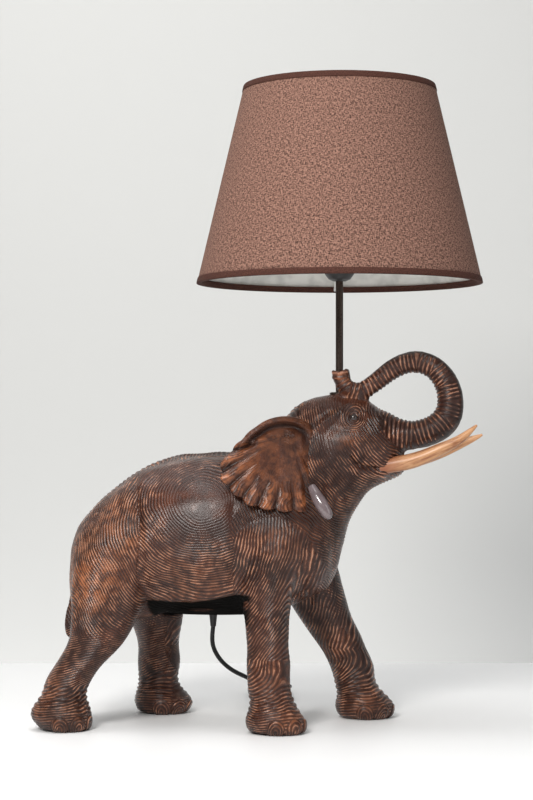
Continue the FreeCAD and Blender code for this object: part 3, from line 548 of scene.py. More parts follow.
def carve_regions(points):
    """The line fields a, b and c in millimetres, and each one's share at every point."""
    x, y, z = points.T
    warp = 2.4 * waves(points, 60, 3) + 0.5 * waves(points, 22, 4)
    trunk_at, trunk, outer_side = trunk_measures(points)
    front_field, rear_field = leg_fields(x, y, z)
    nail, nail_field = toe_nails(points)
    flank_field = np.hypot(0.82 * (x - FLANK_CENTRE[0]), z - FLANK_CENTRE[1])
    thigh_field = np.hypot(x - THIGH_CENTRE[0], z - THIGH_CENTRE[1])
    neck_field = np.hypot(x - NECK_CENTRE[0], z - NECK_CENTRE[1])
    eye_off = np.hypot(x - EYE[0], z - EYE[1])

    # how far each point belongs to each part of the body
    eye = smoothstep(17, 13, eye_off) * smoothstep(14, 24, np.abs(y))
    lower_leg = smoothstep(122, 98, z + 6 * waves(points, 60, 8))
    behind = (-119 - 0.07 * (z - 140)) - x + 3 * waves(points, 50, 6)
    before = x - (-17 + 0.03 * (z - 150)) + 6 * waves(points, 50, 7)
    flank = smoothstep(-3, 3, -behind) * smoothstep(-3, 3, -before)
    dome = np.where(z > 150, np.hypot((x - 22) / 58, (z - 150) / 84), np.abs(x - 22) / 58)
    neck = smoothstep(0.96, 1.04, dome) * smoothstep(118, 132, z) * smoothstep(-3, 3, before)
    low_chest = smoothstep(38, 26, np.abs(y)) * smoothstep(60, 75, x) * smoothstep(132, 150, z)
    neck = np.maximum(neck, low_chest)
    spine = smoothstep(34, 18, np.abs(y)) * smoothstep(212, 240, z) * smoothstep(44, 30, x)
    dorsal = smoothstep(0.72, 0.92, outer_side) * trunk

    # the fields: a on the flank, eyes and toes, b on the thighs, front legs and trunk, c elsewhere
    field_a = np.where(eye_off < 20, eye_off * 1.25, flank_field)
    field_a = np.where(nail > 0, nail_field, field_a)
    field_b = np.where(behind > 0, thigh_field, front_field)
    field_b = np.where(trunk > 0.5, trunk_at * LINE_SPACING / 4.6, field_b)
    field_c = np.where(behind > 0, rear_field, neck_field)
    field_c = np.where(spine > 0, 0.62 * x - 0.25 * np.abs(y), field_c)
    warp_b = warp * np.where(trunk > 0.5, 0.35, 1.0)

    share_c = neck * (1 - trunk) * (1 - eye)
    share_c = np.where(behind > 0, lower_leg * (1 - nail), share_c)
    share_c = np.maximum(share_c, spine)
    share_a = np.maximum(np.maximum(flank * (z > 110), eye * (1 - trunk)), nail) * (1 - spine)
    share_b = np.clip(1 - share_a - share_c, 0, 1) * (1 - dorsal)

    # the lines fade on the polished middle of the flank and on the cheek
    above = smoothstep(250, 275, z) * (flank > 0)
    polished = smoothstep(62, 8, flank_field)
    share_a = share_a * (1 - polished * (1 - above)) * (1 - 0.25 * above)
    cheek = np.exp(-(((x - 84) / 17) ** 2) - ((z - 316) / 22) ** 2) + 0.6 * smoothstep(348, 358, z)
    share_c = share_c * (1 - 0.8 * np.clip(cheek, 0, 1) * (x > 50))
    fields = (field_a + warp, field_b + warp_b, field_c + warp)
    return fields, (share_a, share_b, share_c), trunk, dorsal


def toe_nails(points):
    """Membership of each toe nail, and the distance from its middle that its arcs follow."""
    x, y, z = points.T
    member = np.zeros(len(points))
    field = np.zeros(len(points))
    for foot_x, foot_y, radius in FEET:
        around = np.degrees(np.arctan2(y - foot_y, x - foot_x))
        near = np.hypot(x - foot_x, y - foot_y) < radius + 8
        for angle in TOE_ANGLES:
            across = np.radians((around - angle + 180) % 360 - 180) * radius
            off = np.hypot(across, (z - 4) / 1.25)
            share = smoothstep(12.5, 10.5, off) * near * (z < 26)
            field = np.where(share > member, off, field)
            member = np.maximum(member, share)
    return member, field


def sculpt(points, normals, trunk):
    """How far each point moves out along its normal for the large carved forms."""
    x, y, z = points.T
    side = smoothstep(6, 16, np.abs(y))
    move = np.zeros(len(points))
    for path, depth, width in CREASES:
        off = flat_path_distance(points, path)
        move -= depth * np.exp(-((off / width) ** 2)) * side * (1 - trunk)
    for bulge_x, bulge_z, reach, height in BULGES:
        off = np.hypot(x - bulge_x, z - bulge_z)
        move += height * np.exp(-((off / reach) ** 2)) * side * (1 - trunk)
    lids = np.hypot(x - EYE[0], (z - EYE[1]) * 1.25)
    move += 1.1 * np.exp(-(((lids - 7.5) / 1.5) ** 2)) * side
    nail, nail_field = toe_nails(points)
    move += nail * (1.3 - 1.6 * np.exp(-(((nail_field - 10.5) / 1.2) ** 2)))
    ankle = np.exp(-(((z - 33) / 13) ** 2)) * (z < 70)
    move += 0.8 * ankle * np.sin(2 * math.pi * (z + 1.6 * waves(points, 40, 9)) / 5.6)
    spine = np.exp(-((y / 5) ** 2)) * smoothstep(0.3, 0.8, normals[:, 2]) * (x < 40)
    move += 1.4 * spine
    move += 0.55 * waves(points, 38, 5) * (1 - trunk)
    return move


def shape_trunk_tip(points):
    """Two soft lips with the nostril hollow between them."""
    x, y, z = points.T
    tip_x, tip_y = TRUNK_PATH[-1][:2]
    off = np.hypot(x - tip_x, y - tip_y)
    at_tip = smoothstep(384, 391, z) * smoothstep(17, 14, off)
    hollow = 6.0 * np.exp(-((off / 4.8) ** 2))
    lips = 2.6 * np.tanh(np.abs(x - 90) / 5.0) - 1.6
    points[:, 2] += at_tip * (3.0 + lips - hollow)
    flare = np.exp(-(((z - 391) / 5.0) ** 2)) * smoothstep(17, 14, off)
    for axis, middle in ((0, tip_x), (1, tip_y)):
        points[:, axis] += flare * 0.12 * (points[:, axis] - middle)
    return points


def painted_belly_shadow(points, normals):
    """How far each point belongs to the belly's downward-facing underside, where a painted shadow
    darkens it to near black.
    """
    x, _, z = points.T
    lip = np.interp(x, [-118, -70, -18], [143, 139.5, 150])
    black = smoothstep(0, 2.5, lip - z) * smoothstep(-122, -116, x) * smoothstep(4, -4, x)
    return black * smoothstep(0.2, -0.15, normals[:, 2]) * smoothstep(112, 118, z)


def rubbed(points):
    """How far each point is rubbed to orange."""
    x, _, z = points.T
    worn = np.zeros(len(points))
    for spot_x, spot_z, reach, strength in WORN_SPOTS:
        worn += strength * np.exp(-((np.hypot(x - spot_x, z - spot_z) / reach) ** 2))
    return np.clip(worn, 0, 1)


def store_lines(mesh, fields, shares):
    """Keeps the three line fields and their shares for the carved material."""
    for letter, field, share in zip("abc", fields, shares):
        store(mesh, f"flow_{letter}", field)
        store(mesh, f"share_{letter}", share)


def make_skin(material):
    """The whole elephant but its ears, tusks and eyes, as one carved surface."""
    skin = sealed_casting()
    relax(skin.data, 9)
    finer = skin.modifiers.new("finer", "SUBSURF")
    finer.levels = 2
    apply_modifiers(skin)
    mesh = skin.data
    points = read_points(mesh)
    fields, shares, trunk, dorsal = carve_regions(points)
    points += normals_of(mesh) * sculpt(points, normals_of(mesh), trunk)[:, None]
    points = shape_trunk_tip(points)
    write_points(mesh, points)

    normals = normals_of(mesh)
    x, _, z = points.T
    # black is a painted shadow on the belly's downward faces
    black = painted_belly_shadow(points, normals)
    # painted shade where the ear's shadow falls on the shoulder and neck
    painted_shade_under_ear = np.exp(-(((x - 26) / 44) ** 2) - ((z - 232) / 15) ** 2) * (normals[:, 1] ** 2 > 0.2)
    store_lines(mesh, fields, shares)
    store(mesh, "worn", rubbed(points))
    store(mesh, "black", black)
    # dark: the trunk's darker outer strip, a real tone, and the painted shade under the ear
    store(mesh, "dark", np.maximum(0.85 * dorsal, 0.75 * painted_shade_under_ear))

    # the lines are cut deeper on the trunk and the neck
    lines = sum(
        share * np.sin(2 * math.pi * field / LINE_SPACING) for field, share in zip(fields, shares)
    )
    deep = np.maximum(trunk, smoothstep(0.5, 0.9, shares[2]) * (z > 200))
    depth = 0.10 + 0.45 * deep * (1 - black)
    write_points(mesh, points + normals * (lines * depth)[:, None])
    mesh.shade_smooth()
    mesh.materials.clear()
    mesh.materials.append(material)
    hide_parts("elephant_casting")
    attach(skin, "root")


# -------- the ears

EAR_MIDDLE = (28, 298)
# The fan's outline in X and Z, from its root at the front, over the top and round.
EAR_OUTLINE = [
    (66, 318), (64, 330), (48, 340.5), (25, 341), (6, 331), (-9, 316), (-22, 302), (-31, 288),
    (-29, 276), (-20, 265), (-10, 256), (4, 247), (22, 243.5), (42, 241), (58, 240.5), (69, 243),
    (69, 262), (67, 290),
]
FLUTES = 9
# The flutes spread from this place in X and Z, over these angles in degrees.
FAN_ROOT, FAN_START, FAN_SWEEP = (40, 322), 182, 118
# How far out the fan's face lies at some places along X.
FAN_X, FAN_LIFT = [-29, -12, 8, 30, 52, 64, 70], [88, 87, 82, 71, 55, 42, 35]


def ear_outline(count):
    """The outline as a radius for each of a number of even angles round the middle."""
    outline = np.array(EAR_OUTLINE, float) - EAR_MIDDLE
    angle = np.arctan2(outline[:, 1], outline[:, 0]) % (2 * math.pi)
    radius = np.hypot(*outline.T)
    order = np.argsort(angle)
    turns = np.linspace(0, 2 * math.pi, count, endpoint=False)
    found = np.interp(turns, angle[order], radius[order], period=2 * math.pi)
    for _ in range(3):
        found = (np.roll(found, 1) + 2 * found + np.roll(found, -1)) / 4
    return turns, found


def fan_angle(x, z):
    """The angle in degrees round the place that the flutes spread from."""
    return np.degrees(np.arctan2(z - FAN_ROOT[1], x - FAN_ROOT[0]))


def ear_lift(x, z, reach, turns):
    """How far the fan's face stands out, with its rolled top rim and fluted lower edge."""
    base = np.interp(x, FAN_X, FAN_LIFT) - 0.12 * (z - 290)
    top = smoothstep(20, 50, turns) * smoothstep(178, 150, turns)
    rim = 4.6 * np.exp(-(((reach - 0.91) / 0.06) ** 2))
    rim -= 4.2 * np.exp(-(((reach - 0.76) / 0.07) ** 2))
    fan = fan_angle(x, z) % 360
    fluted = smoothstep(178, 196, fan) * smoothstep(303, 290, fan)
    swing = np.abs(np.sin(math.pi * FLUTES * (fan - FAN_START) / FAN_SWEEP))
    grown = smoothstep(0.30, 0.95, reach)
    flutes = (6.0 * swing**0.7 - 2.4) * grown * fluted
    # hollow marks a painted shadow in the groove under the rolled rim
    hollow = np.exp(-(((reach - 0.79) / 0.08) ** 2)) * top
    return base + rim * top + flutes, np.stack([swing, fluted * grown, hollow], 1)


def ear_surface(count, rings):
    """Rings of points over the face, round the edge and back over the rear, and their marks."""
    turns, radius = ear_outline(count)
    degrees = np.degrees(turns)
    levels = [(r / rings, 1.0) for r in range(1, rings + 1)] + [(1.012, 0.5), (1.0, 0.0)]
    levels += [(r / rings, 0.0) for r in range(rings - 2, 0, -3)]
    points, values = [], []
    for reach, face in levels:
        x = EAR_MIDDLE[0] + np.cos(turns) * radius * reach
        z = EAR_MIDDLE[1] + np.sin(turns) * radius * reach
        lift, marks = ear_lift(x, z, np.full(count, min(reach, 1.0)), degrees)
        scallop = 1 + 0.045 * (marks[:, 0] - 0.5) * marks[:, 1]
        x = EAR_MIDDLE[0] + (x - EAR_MIDDLE[0]) * scallop
        z = EAR_MIDDLE[1] + (z - EAR_MIDDLE[1]) * scallop
        thickness = 4.6 - 1.4 * min(reach, 1.0)
        points.append(np.stack([x, lift - (1 - face) * thickness, z], 1))
        values.append(marks)
    return np.concatenate(points), np.concatenate(values), len(levels)


def close_ends(points, marks, faces, rows, count):
    """Closes the first and the last ring of an ear with a fan of triangles."""
    for row in (0, rows - 1):
        points = np.vstack([points, points[row * count:(row + 1) * count].mean(0)])
        marks = np.vstack([marks, (0, 0, 0)])
        middle = len(points) - 1
        for c in range(count):
            pair = (row * count + c, row * count + (c + 1) % count)
            faces.append((*pair[::-1], middle) if row == 0 else (*pair, middle))
    return points, marks


def make_ear(side, name, node, material):
    """One ear: a curved fan with a rolled rim above and flutes below. Side is -1 on the right."""
    count, rings = 300, 46
    points, marks, rows = ear_surface(count, rings)
    points[:, 1] *= side
    faces = grid_faces(rows, count)
    points, marks = close_ends(points, marks, faces, rows, count)
    if side > 0:
        faces = [face[::-1] for face in faces]
    ear = mesh_object(name, points, faces, material)
    x, _, z = points.T
    swing, fluted, hollow = marks.T
    none = np.zeros(len(points))
    flow = fan_angle(x, z) * 0.9 + 1.4 * waves(points, 20, 12)
    rim = smoothstep(326, 336, z + 0.12 * x)
    store_lines(ear.data, (flow, flow, flow), (0.15 + 0.55 * fluted + 0.3 * rim, none, none))
    store(ear.data, "worn", np.clip(0.25 + 0.75 * swing**2 * fluted, 0, 1))
    store(ear.data, "black", none)
    # dark: darker between the flutes, and a painted shadow in the hollow under the rolled rim
    store(ear.data, "dark", np.maximum(0.9 * (1 - swing) ** 2 * fluted, 0.85 * hollow))
    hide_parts(node)
    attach(ear, "root")


# The lobe's middle line on the left side, and its radius at each of these places.
LOBE_PATH = [(63, 56, 268), (69, 60, 257), (76, 63, 246), (82, 64, 236), (84.5, 64, 231.5)]
LOBE_RADII = [4.2, 6.4, 7.2, 5.8, 2.2]


def make_lobe(side, name, material):
    """The small polished lobe that hangs below an ear's root; its light grey-blue colour is a painted
    highlight.
    """
    lobe = tapered_tube(name, [(x, side * y, z) for x, y, z in LOBE_PATH], LOBE_RADII, material)
    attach(lobe, "root")


def tapered_tube(name, path, radii, material, around=28, steps=40):
    """A closed tube whose middle line and radius follow smooth curves through a few places."""
    path = np.asarray(path, float)
    at = np.linspace(0, len(path) - 1, steps)
    line = np.stack([catmull(path[:, axis], at) for axis in range(3)], 1)
    radius = np.maximum(catmull(np.asarray(radii, float), at), 0.2)
    radius[0] *= 0.4
    radius[-1] *= 0.4
    tangent = np.gradient(line, axis=0)
    tangent /= np.linalg.norm(tangent, axis=1)[:, None]
    across = np.cross(tangent, (0, 1, 0))
    across /= np.linalg.norm(across, axis=1)[:, None]
    other = np.cross(tangent, across)
    turns = np.linspace(0, 2 * math.pi, around, endpoint=False)
    ring = np.cos(turns)[None, :, None] * across[:, None, :]
    ring = ring + np.sin(turns)[None, :, None] * other[:, None, :]
    points = (line[:, None, :] + radius[:, None, None] * ring).reshape(-1, 3)
    faces = grid_faces(steps, around)
    faces.append(tuple(range(around))[::-1])
    faces.append(tuple(range((steps - 1) * around, steps * around)))
    return mesh_object(name, points, faces, material)


def catmull(values, at):
    """A smooth curve through evenly numbered values."""
    padded = np.concatenate([[2 * values[0] - values[1]], values, [2 * values[-1] - values[-2]]])
    index = np.minimum(at.astype(int), len(values) - 2)
    t = at - index
    p0, p1, p2, p3 = (padded[index + k] for k in range(4))
    square = (2 * p0 - 5 * p1 + 4 * p2 - p3) * t**2
    cube = (3 * p1 - p0 - 3 * p2 + p3) * t**3
    return 0.5 * (2 * p1 + (p2 - p0) * t + square + cube)


EYEBALL_RADIUS, EYEBALL_SUNK, EYEBALL_STRETCH = 4.2, 2.6, 1.15


def make_eyes(material):
    """A small glossy eyeball under each brow."""
    for side, name in ((-1, "eye_right"), (1, "eye_left")):
        place = skin_place(EYE, side) - Vector((0, side * EYEBALL_SUNK * MM, 0))
        build = bmesh.new()
        bmesh.ops.create_uvsphere(
            build, u_segments=32, v_segments=20, radius=EYEBALL_RADIUS * MM
        )
        for vertex in build.verts:
            vertex.co.x *= EYEBALL_STRETCH
            vertex.co += place
        mesh = bpy.data.meshes.new(name)
        build.to_mesh(mesh)
        build.free()
        mesh.shade_smooth()
        mesh.materials.append(material)
        eye = add_object(name, mesh)
        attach(eye, "root")


def skin_place(flat, side):
    """Where a line across the elephant at an X and Z place meets its skin on one side."""
    start = Vector((flat[0] * MM, side * 0.2, flat[1] * MM))
    return bpy.data.objects["elephant_skin"].ray_cast(start, Vector((0, -side, 0)))[1]


# -------- the shade

CLOTH_LOW, CLOTH_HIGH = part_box("shade_fabric")
SHADE_FOOT, SHADE_TOP = CLOTH_LOW.z / MM, CLOTH_HIGH.z / MM
POLE_X = (CLOTH_LOW.x + CLOTH_HIGH.x) / 2 / MM
SHADE_LOW = (CLOTH_HIGH.x - CLOTH_LOW.x) / 2 / MM
SHADE_HIGH = 106.0
CLOTH_THICKNESS = 0.6
# The edge tape: its width over the edge, how far it stands past the edge and off the cloth, how
# far it bulges, and how far it reaches in round the wire behind the cloth's edge.
TAPE_WIDTH, TAPE_PAST, TAPE_PROUD, TAPE_BULGE, TAPE_REACH = 6.0, 0.6, 0.5, 0.25, 5.3


def revolved(name, profile, material):
    """A closed ring round the pole's axis from a closed profile of radius and height."""
    segments = 256
    turns = np.linspace(0, 2 * math.pi, segments, endpoint=False)
    points = [
        (POLE_X + radius * math.cos(t), radius * math.sin(t), height)
        for radius, height in profile
        for t in turns
    ]
    faces = grid_faces(len(profile), segments)
    last = (len(profile) - 1) * segments
    faces += [(last + c, last + (c + 1) % segments, (c + 1) % segments, c) for c in range(segments)]
    thing = mesh_object(name, points, faces, material)
    wrap_uv(thing.data)
    return thing


def wrap_uv(mesh):
    """UV in metres: round the shade at its middle radius, and up its slope."""
    middle = (SHADE_LOW + SHADE_HIGH) / 2 * MM
    layer = mesh.uv_layers.new(name="wrap")
    for polygon in mesh.polygons:
        angles = []
        for index in polygon.vertices:
            place = mesh.vertices[index].co
            angles.append(math.atan2(place.y, place.x - POLE_X * MM))
        if max(angles) - min(angles) > math.pi:
            angles = [a + 2 * math.pi if a < 0 else a for a in angles]
        for loop, angle, index in zip(polygon.loop_indices, angles, polygon.vertices):
            layer.data[loop].uv = (angle * middle, mesh.vertices[index].co.z)


def shade_radius(height, depth=0.0):
    """The cloth's outer radius at a height, less a depth."""
    share = (height - SHADE_FOOT) / (SHADE_TOP - SHADE_FOOT)
    return SHADE_LOW + (SHADE_HIGH - SHADE_LOW) * share - depth


def band_profile(low, high):
    """A tape folded over an edge, with rounded corners."""
    middle = (low + high) / 2
    corner = 0.8
    return [
        (shade_radius(low, TAPE_REACH), low),
        (shade_radius(low, -TAPE_PROUD), low),
        (shade_radius(low + corner, -TAPE_PROUD - TAPE_BULGE), low + corner),
        (shade_radius(middle, -TAPE_PROUD - TAPE_BULGE * 1.3), middle),
        (shade_radius(high - corner, -TAPE_PROUD - TAPE_BULGE), high - corner),
        (shade_radius(high, -TAPE_PROUD), high),
        (shade_radius(high, TAPE_REACH), high),
    ]


def make_shade(linen, tape):
    """The cloth, the tapes on its edges and its seam."""
    heights = np.linspace(SHADE_FOOT, SHADE_TOP, 24)
    inner = [(shade_radius(h, CLOTH_THICKNESS), h) for h in heights]
    outer = [(shade_radius(h), h) for h in heights[::-1]]
    cloth = revolved("shade_cloth", inner + outer, linen)
    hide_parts("shade_fabric")
    low_edge = band_profile(SHADE_FOOT - TAPE_PAST, SHADE_FOOT + TAPE_WIDTH)
    low = revolved("shade_tape_low", low_edge, tape)
    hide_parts("shade_trim_low")
    high_edge = band_profile(SHADE_TOP - TAPE_WIDTH, SHADE_TOP + TAPE_PAST)
    high = revolved("shade_tape_high", high_edge, tape)
    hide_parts("shade_trim_high")
    seam = make_seam(linen)
    for piece in (cloth, low, high, seam):
        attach(piece, "shade")


# The seam's place round the shade and half its width, both as angles, and how far it stands off.
SEAM_TURN, SEAM_HALF, SEAM_PROUD = math.radians(100), 0.045, 0.35


def make_seam(linen):
    """The upright overlap where the cloth's ends are glued, at the rear of the shade."""
    rows, columns = 24, 5
    points = []
    for h in np.linspace(SHADE_FOOT + 4, SHADE_TOP - 4, rows):
        for c in range(columns):
            turn = SEAM_TURN + SEAM_HALF * (2 * c / (columns - 1) - 1)
            radius = shade_radius(h, -SEAM_PROUD if 0 < c < columns - 1 else 0.1)
            points.append((POLE_X + radius * math.cos(turn), radius * math.sin(turn), h))
    seam = mesh_object("shade_seam", points, grid_faces(rows, columns, closed=False), linen)
    wrap_uv(seam.data)
    return seam


# -------- the lead

LEAD_DIAMETER = 5.0
# The put-away lead is laid out from here, along a line turned from +Y, behind the right front leg.
LAY_ORIGIN = Vector((10.8, 0, 0))
LAY_TURN = math.radians(8)
SWITCH_NEAR, SWITCH_FAR = (124, -1, 9.5), (182, -1, 9.5)
# The hank's near end, its size along and across, its turns, and the points in each turn.
HANK_NEAR, HANK_LENGTH, HANK_WIDTH = 192.0, 100.0, 45.0
HANK_TURNS, HANK_STEPS = 5.60, 24
# At which turns the lead changes its lane (its distance from the middle) and its height.
LANE_TURNS = [0, 0.75, 1.0, 2.75, 3.0, 3.96, 4.06, 4.16, 4.30]
LANE_PLACES = [20, 20, 15, 15, 20, 20, 25.2, 25.2, 20]
CLIMB_TURNS, CLIMB_HEIGHTS = [1.98, 2.22, 3.98, 4.24], [8.1, 2.6, 2.6, 13.8]


def laid(along, right, height):
    """A place in the put-away lead's own layout, in metres."""
    x = LAY_ORIGIN.x + right * math.cos(LAY_TURN) - along * math.sin(LAY_TURN)
    y = right * math.sin(LAY_TURN) + along * math.cos(LAY_TURN)
    return Vector((x, y, height)) * MM


def lead_curve(name, points, material):
    """A round lead. Its points hold the radius, since the bevel's depth of 1 only multiplies it."""
    curve = bpy.data.curves.new(name, "CURVE")
    curve.dimensions = "3D"
    curve.bevel_depth = 1.0
    curve.bevel_resolution = 6
    curve.resolution_u = 10
    curve.use_fill_caps = True
    spline = curve.splines.new("NURBS")
    spline.points.add(len(points) - 1)
    for point, place in zip(spline.points, points):
        point.co = (*place, 1.0)
        point.radius = LEAD_DIAMETER / 2 * MM
    spline.use_endpoint_u = True
    spline.order_u = 3
    curve.materials.append(material)
    return add_object(name, curve)


def first_route():
    """Out of the belly, down in the bend that shows, and on to the switch."""
    drop = [
        (-54, 0, 108), (-56.2, 2, 94), (-54.5, 9, 80), (-48, 21, 66), (-37, 36, 53.5), (-17.5, 58, 41.5),
    ]
    landing = [(79, -17.5, 31), (94, -12, 20.5), (107, -6, 12.8), (118, -3, 10), SWITCH_NEAR]
    return [Vector(p) * MM for p in drop] + [laid(*p) for p in landing]


def hank_turns():
    """Folded turns: two in the middle layer, two below them, and the rest on top."""
    run = HANK_LENGTH - HANK_WIDTH
    centre = HANK_NEAR + HANK_LENGTH / 2
    places = []
    for step in range(int(HANK_TURNS * HANK_STEPS)):
        turn = step / HANK_STEPS
        lane = np.interp(turn, LANE_TURNS, LANE_PLACES)
        height = np.interp(turn, CLIMB_TURNS, CLIMB_HEIGHTS)
        half, part = divmod(turn % 1.0, 0.5)
        way = 1 - 2 * half
        if part < 0.25:
            along, across = run * (4 * part - 0.5), -lane
        else:
            angle = math.pi * (part - 0.25) * 4
            along, across = run / 2 + lane * math.sin(angle), -lane * math.cos(angle)
        places.append(laid(centre + way * along, way * across, height))
    return places


def second_route():
    """From the switch into the hank, and from its top to the plug."""
    enter = [laid(*p) for p in [SWITCH_FAR, (189, -2, 9.2), (197, -9, 8.6), (205, -16.5, 8.2)]]
    leave = [
        (218, 22.5, 14.8), (207, 24.4, 15.8), (197, 22.4, 17.4), (191, 15.6, 19.4),
        (192, 8, 21.2), (199, 4, 22.8), (209, 3, 23.5), (219, 3, 23.6),
    ]
    return enter + hank_turns() + [laid(*p) for p in leave]


def make_lead(sheath):
    """The lead in two runs: from the belly to the switch, and on to the plug."""
    first = lead_curve("lead_down", first_route(), sheath)
    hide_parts("lead_to_switch")
    second = lead_curve("lead_and_hank", second_route(), sheath)
    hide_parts("lead_to_hank", "lead_hank", "lead_to_plug")
    for lead in (first, second):
        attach(lead, "root")


# -------- finish of the CAD pieces


def finish_cad(names, material, bevel_mm=0.0):
    """Gives CAD pieces their material, and rounds their sharp edges a little."""
    for name in names:
        thing = nodes[name]
        thing.data.materials.clear()
        thing.data.materials.append(material)
        if bevel_mm:
            edge = thing.modifiers.new("edges", "BEVEL")
            edge.width = bevel_mm * MM
            edge.segments = 2
            edge.limit_method = "ANGLE"
            edge.angle_limit = math.radians(35)


def finish_all():
    """Finishes every CAD piece, and gives back the lead's material."""
    bronze = plain("dark_bronze", (0.052, 0.034, 0.026), 0.30, 2.0, 0.04, metallic=0.55)
    black = plain("black_moulding", (0.018, 0.017, 0.017), 0.42, 0.7, 0.06)
    cover = plain("black_cover_look", (0.006, 0.0055, 0.005), 0.9, 1.4, 0.35, Specular_IOR_Level=0.05)
    felt = plain("felt_look", (0.03, 0.03, 0.03), 0.95, 0.5, 0.15)
    white = plain("white_moulding", (0.80, 0.80, 0.77), 0.45, 0.9, 0.03)
    liner = plain("white_liner", (0.83, 0.82, 0.78), 0.80, 1.1, 0.05)
    wire = plain("white_wire_look", (0.82, 0.82, 0.79), 0.35, 1.0, 0.03)
    brass = brushed("brass_look", (0.80, 0.60, 0.28), 0.25)
    steel = brushed("steel_look", (0.60, 0.60, 0.58), 0.32)
    sheath = plain("lead_sheath", (0.006, 0.006, 0.0065), 0.28, 0.8, 0.02, Specular_IOR_Level=0.35)
    finish_cad(["pole"], bronze)
    finish_cad(["pole_collar"], bronze, 0.4)
    finish_cad(["holder_cap", "holder_skirt", "shade_ring"], black, 0.4)
    finish_cad(["cord_relief", "cord_clamp", "lead_tie", "plug_relief", "bulb_insulator"], black, 0.2)
    finish_cad(["switch_base", "switch_cover", "switch_rocker", "plug_body"], black, 0.5)
    finish_cad(["belly_cover", "belly_cover_screws"], cover, 0.4)
    finish_cad(["foot_pads"], felt, 0.2)
    finish_cad(["holder_block", "bulb_housing"], white, 0.3)
    finish_cad(["bulb_light_board"], white)
    finish_cad(["shade_liner"], liner)
    finish_cad(["shade_wire_high", "shade_carrier"], wire)
    finish_cad(["holder_sleeve", "holder_centre_contact", "holder_terminal_screws"], brass)
    finish_cad(["bulb_cap", "bulb_contact", "switch_contacts"], brass)
    finish_cad(["plug_pins"], brass, 0.4)
    finish_cad(["pole_washer", "pole_nut", "switch_pin", "switch_screws"], steel)
    finish_cad(["inner_lead"], sheath)
    finish_cad(["bulb_envelope"], frosted_glass())
    finish_cad(["tusk_right", "tusk_left"], tusk_resin())
    return sheath


def soften_round_pieces():
    """Smooth shading with sharp edges kept, for every CAD piece that is left showing."""
    for thing in nodes.values():
        thing.data.shade_smooth()
        thing.data.set_sharp_from_angle(angle=math.radians(32))


# -------- the stage

CAMERA_PLACE = (328.9, -2295.9, 331.0)
CAMERA_TURN = math.radians(8)
LENS, SENSOR = 93.5, 36.0
# how far the frame is moved up, as a share of its height
FRAME_SHIFT = 0.03375
# how far the table's rear edge and the wall are ahead of the camera
TABLE_EDGE, WALL = 2914.0, 3450.0
# how far the table and the wall reach to each side, and where each begins and ends
STAGE_SIDE, TABLE_START, WALL_FOOT, WALL_TOP = 4000.0, -1000.0, -900.0, 3500.0


def ahead(across, distance, height):
    """A place to the right of the camera's line of sight, along it, and above the floor."""
    x, y, _ = CAMERA_PLACE
    c, s = math.cos(CAMERA_TURN), math.sin(CAMERA_TURN)
    return (x + across * c - distance * s, y + across * s + distance * c, height)


def make_camera():
    """A level camera whose frame is shifted instead of tilted."""
    data = bpy.data.cameras.new("camera")
    data.sensor_fit = "VERTICAL"
    data.sensor_height = SENSOR
    data.lens = LENS
    data.shift_y = FRAME_SHIFT
    data.clip_end = 20
    camera = add_object("camera", data)
    camera.location = Vector(CAMERA_PLACE) * MM
    camera.rotation_euler = (math.radians(90), 0, CAMERA_TURN)
    bpy.context.scene.camera = camera


def add_area(name, place, aim, size, power, colour=(1, 1, 1)):
    """A soft rectangular light; its places are in metres."""
    data = bpy.data.lights.new(name, "AREA")
    data.shape = "RECTANGLE"
    data.size, data.size_y = size
    data.energy = power
    data.color = colour
    light = add_object(name, data)
    light.location = place
    light.rotation_euler = (Vector(aim) - Vector(place)).to_track_quat("-Z", "Y").to_euler()


def stage_sheet(name, look, *edges):
    """A wide sheet between two level edges, each at a distance ahead and a height."""
    (near, low), (far, high) = edges
    corners = [
        ahead(-STAGE_SIDE, near, low), ahead(STAGE_SIDE, near, low),
        ahead(STAGE_SIDE, far, high), ahead(-STAGE_SIDE, far, high),
    ]
    return mesh_object(name, corners, [(0, 1, 2, 3)], look)


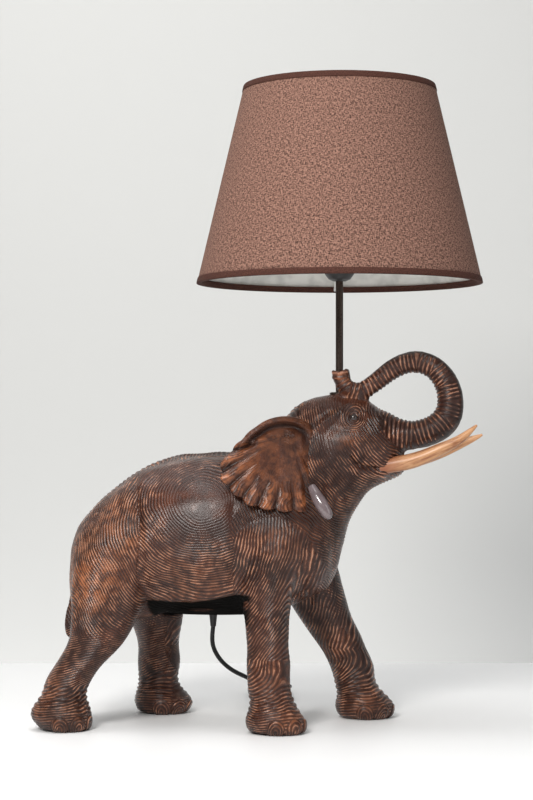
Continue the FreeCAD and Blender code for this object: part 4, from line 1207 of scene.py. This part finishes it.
def make_stage():
    """The table, the wall behind it, and the studio's light."""
    table_look = even("pale_table", (0.90, 0.90, 0.90), 0.5)
    wall_look = even("pale_wall", (0.64, 0.64, 0.625), 0.9)
    floor = stage_sheet("floor", table_look, (TABLE_START, 0), (TABLE_EDGE, 0))
    wall = stage_sheet("wall", wall_look, (WALL, WALL_FOOT), (WALL, WALL_TOP))
    world = bpy.data.worlds.new("studio")
    world.use_nodes = True
    background = world.node_tree.nodes["Background"]
    background.inputs["Color"].default_value = (0.80, 0.82, 0.84, 1)
    background.inputs["Strength"].default_value = 0.27
    bpy.context.scene.world = world
    add_area("key", (-0.35, -1.9, 1.40), (-0.02, 0, 0.33), (0.5, 0.7), 42, (1.0, 0.985, 0.96))
    add_area("fill", (1.8, -0.9, 0.9), (0.05, 0, 0.3), (0.6, 1.2), 5, (0.95, 0.98, 1.0))
    add_area("top", (-0.2, -0.25, 1.9), (0, 0, 0.3), (1.6, 0.9), 20)
    add_area("wall_wash", (-0.35, 0.8, -0.2), (-0.35, 1.2, 0.35), (2.2, 0.3), 3.5)
    bpy.context.scene.view_settings.view_transform = "Standard"


# -------- everything

make_camera()
lead_sheath = finish_all()
soften_round_pieces()
make_lead(lead_sheath)
resin = carved_resin("carved_resin_look")
make_skin(resin)
ear_resin = carved_resin("ear_resin_look", 0.55)
# the lobe's light grey-blue colour is a painted highlight; its gloss and coat are real
lobe_highlight_look = plain("lobe_painted_highlight", (0.17, 0.13, 0.135), 0.12, 3.0, 0.05, Coat_Weight=0.6)
for ear_side, side_name in ((-1, "right"), (1, "left")):
    make_ear(ear_side, f"ear_fan_{side_name}", f"ear_{side_name}", ear_resin)
    make_lobe(ear_side, f"ear_fan_{side_name}_lobe", lobe_highlight_look)
make_eyes(plain("eye_gloss", (0.02, 0.010, 0.008), 0.10, 3.0, 0.0, Coat_Weight=0.6))
make_shade(
    woven("shade_weave", (0.34, 0.185, 0.138), (0.045, 0.021, 0.016), 1.25),
    woven("tape_weave", (0.100, 0.040, 0.028), (0.040, 0.016, 0.012), 0.8),
)
make_stage()
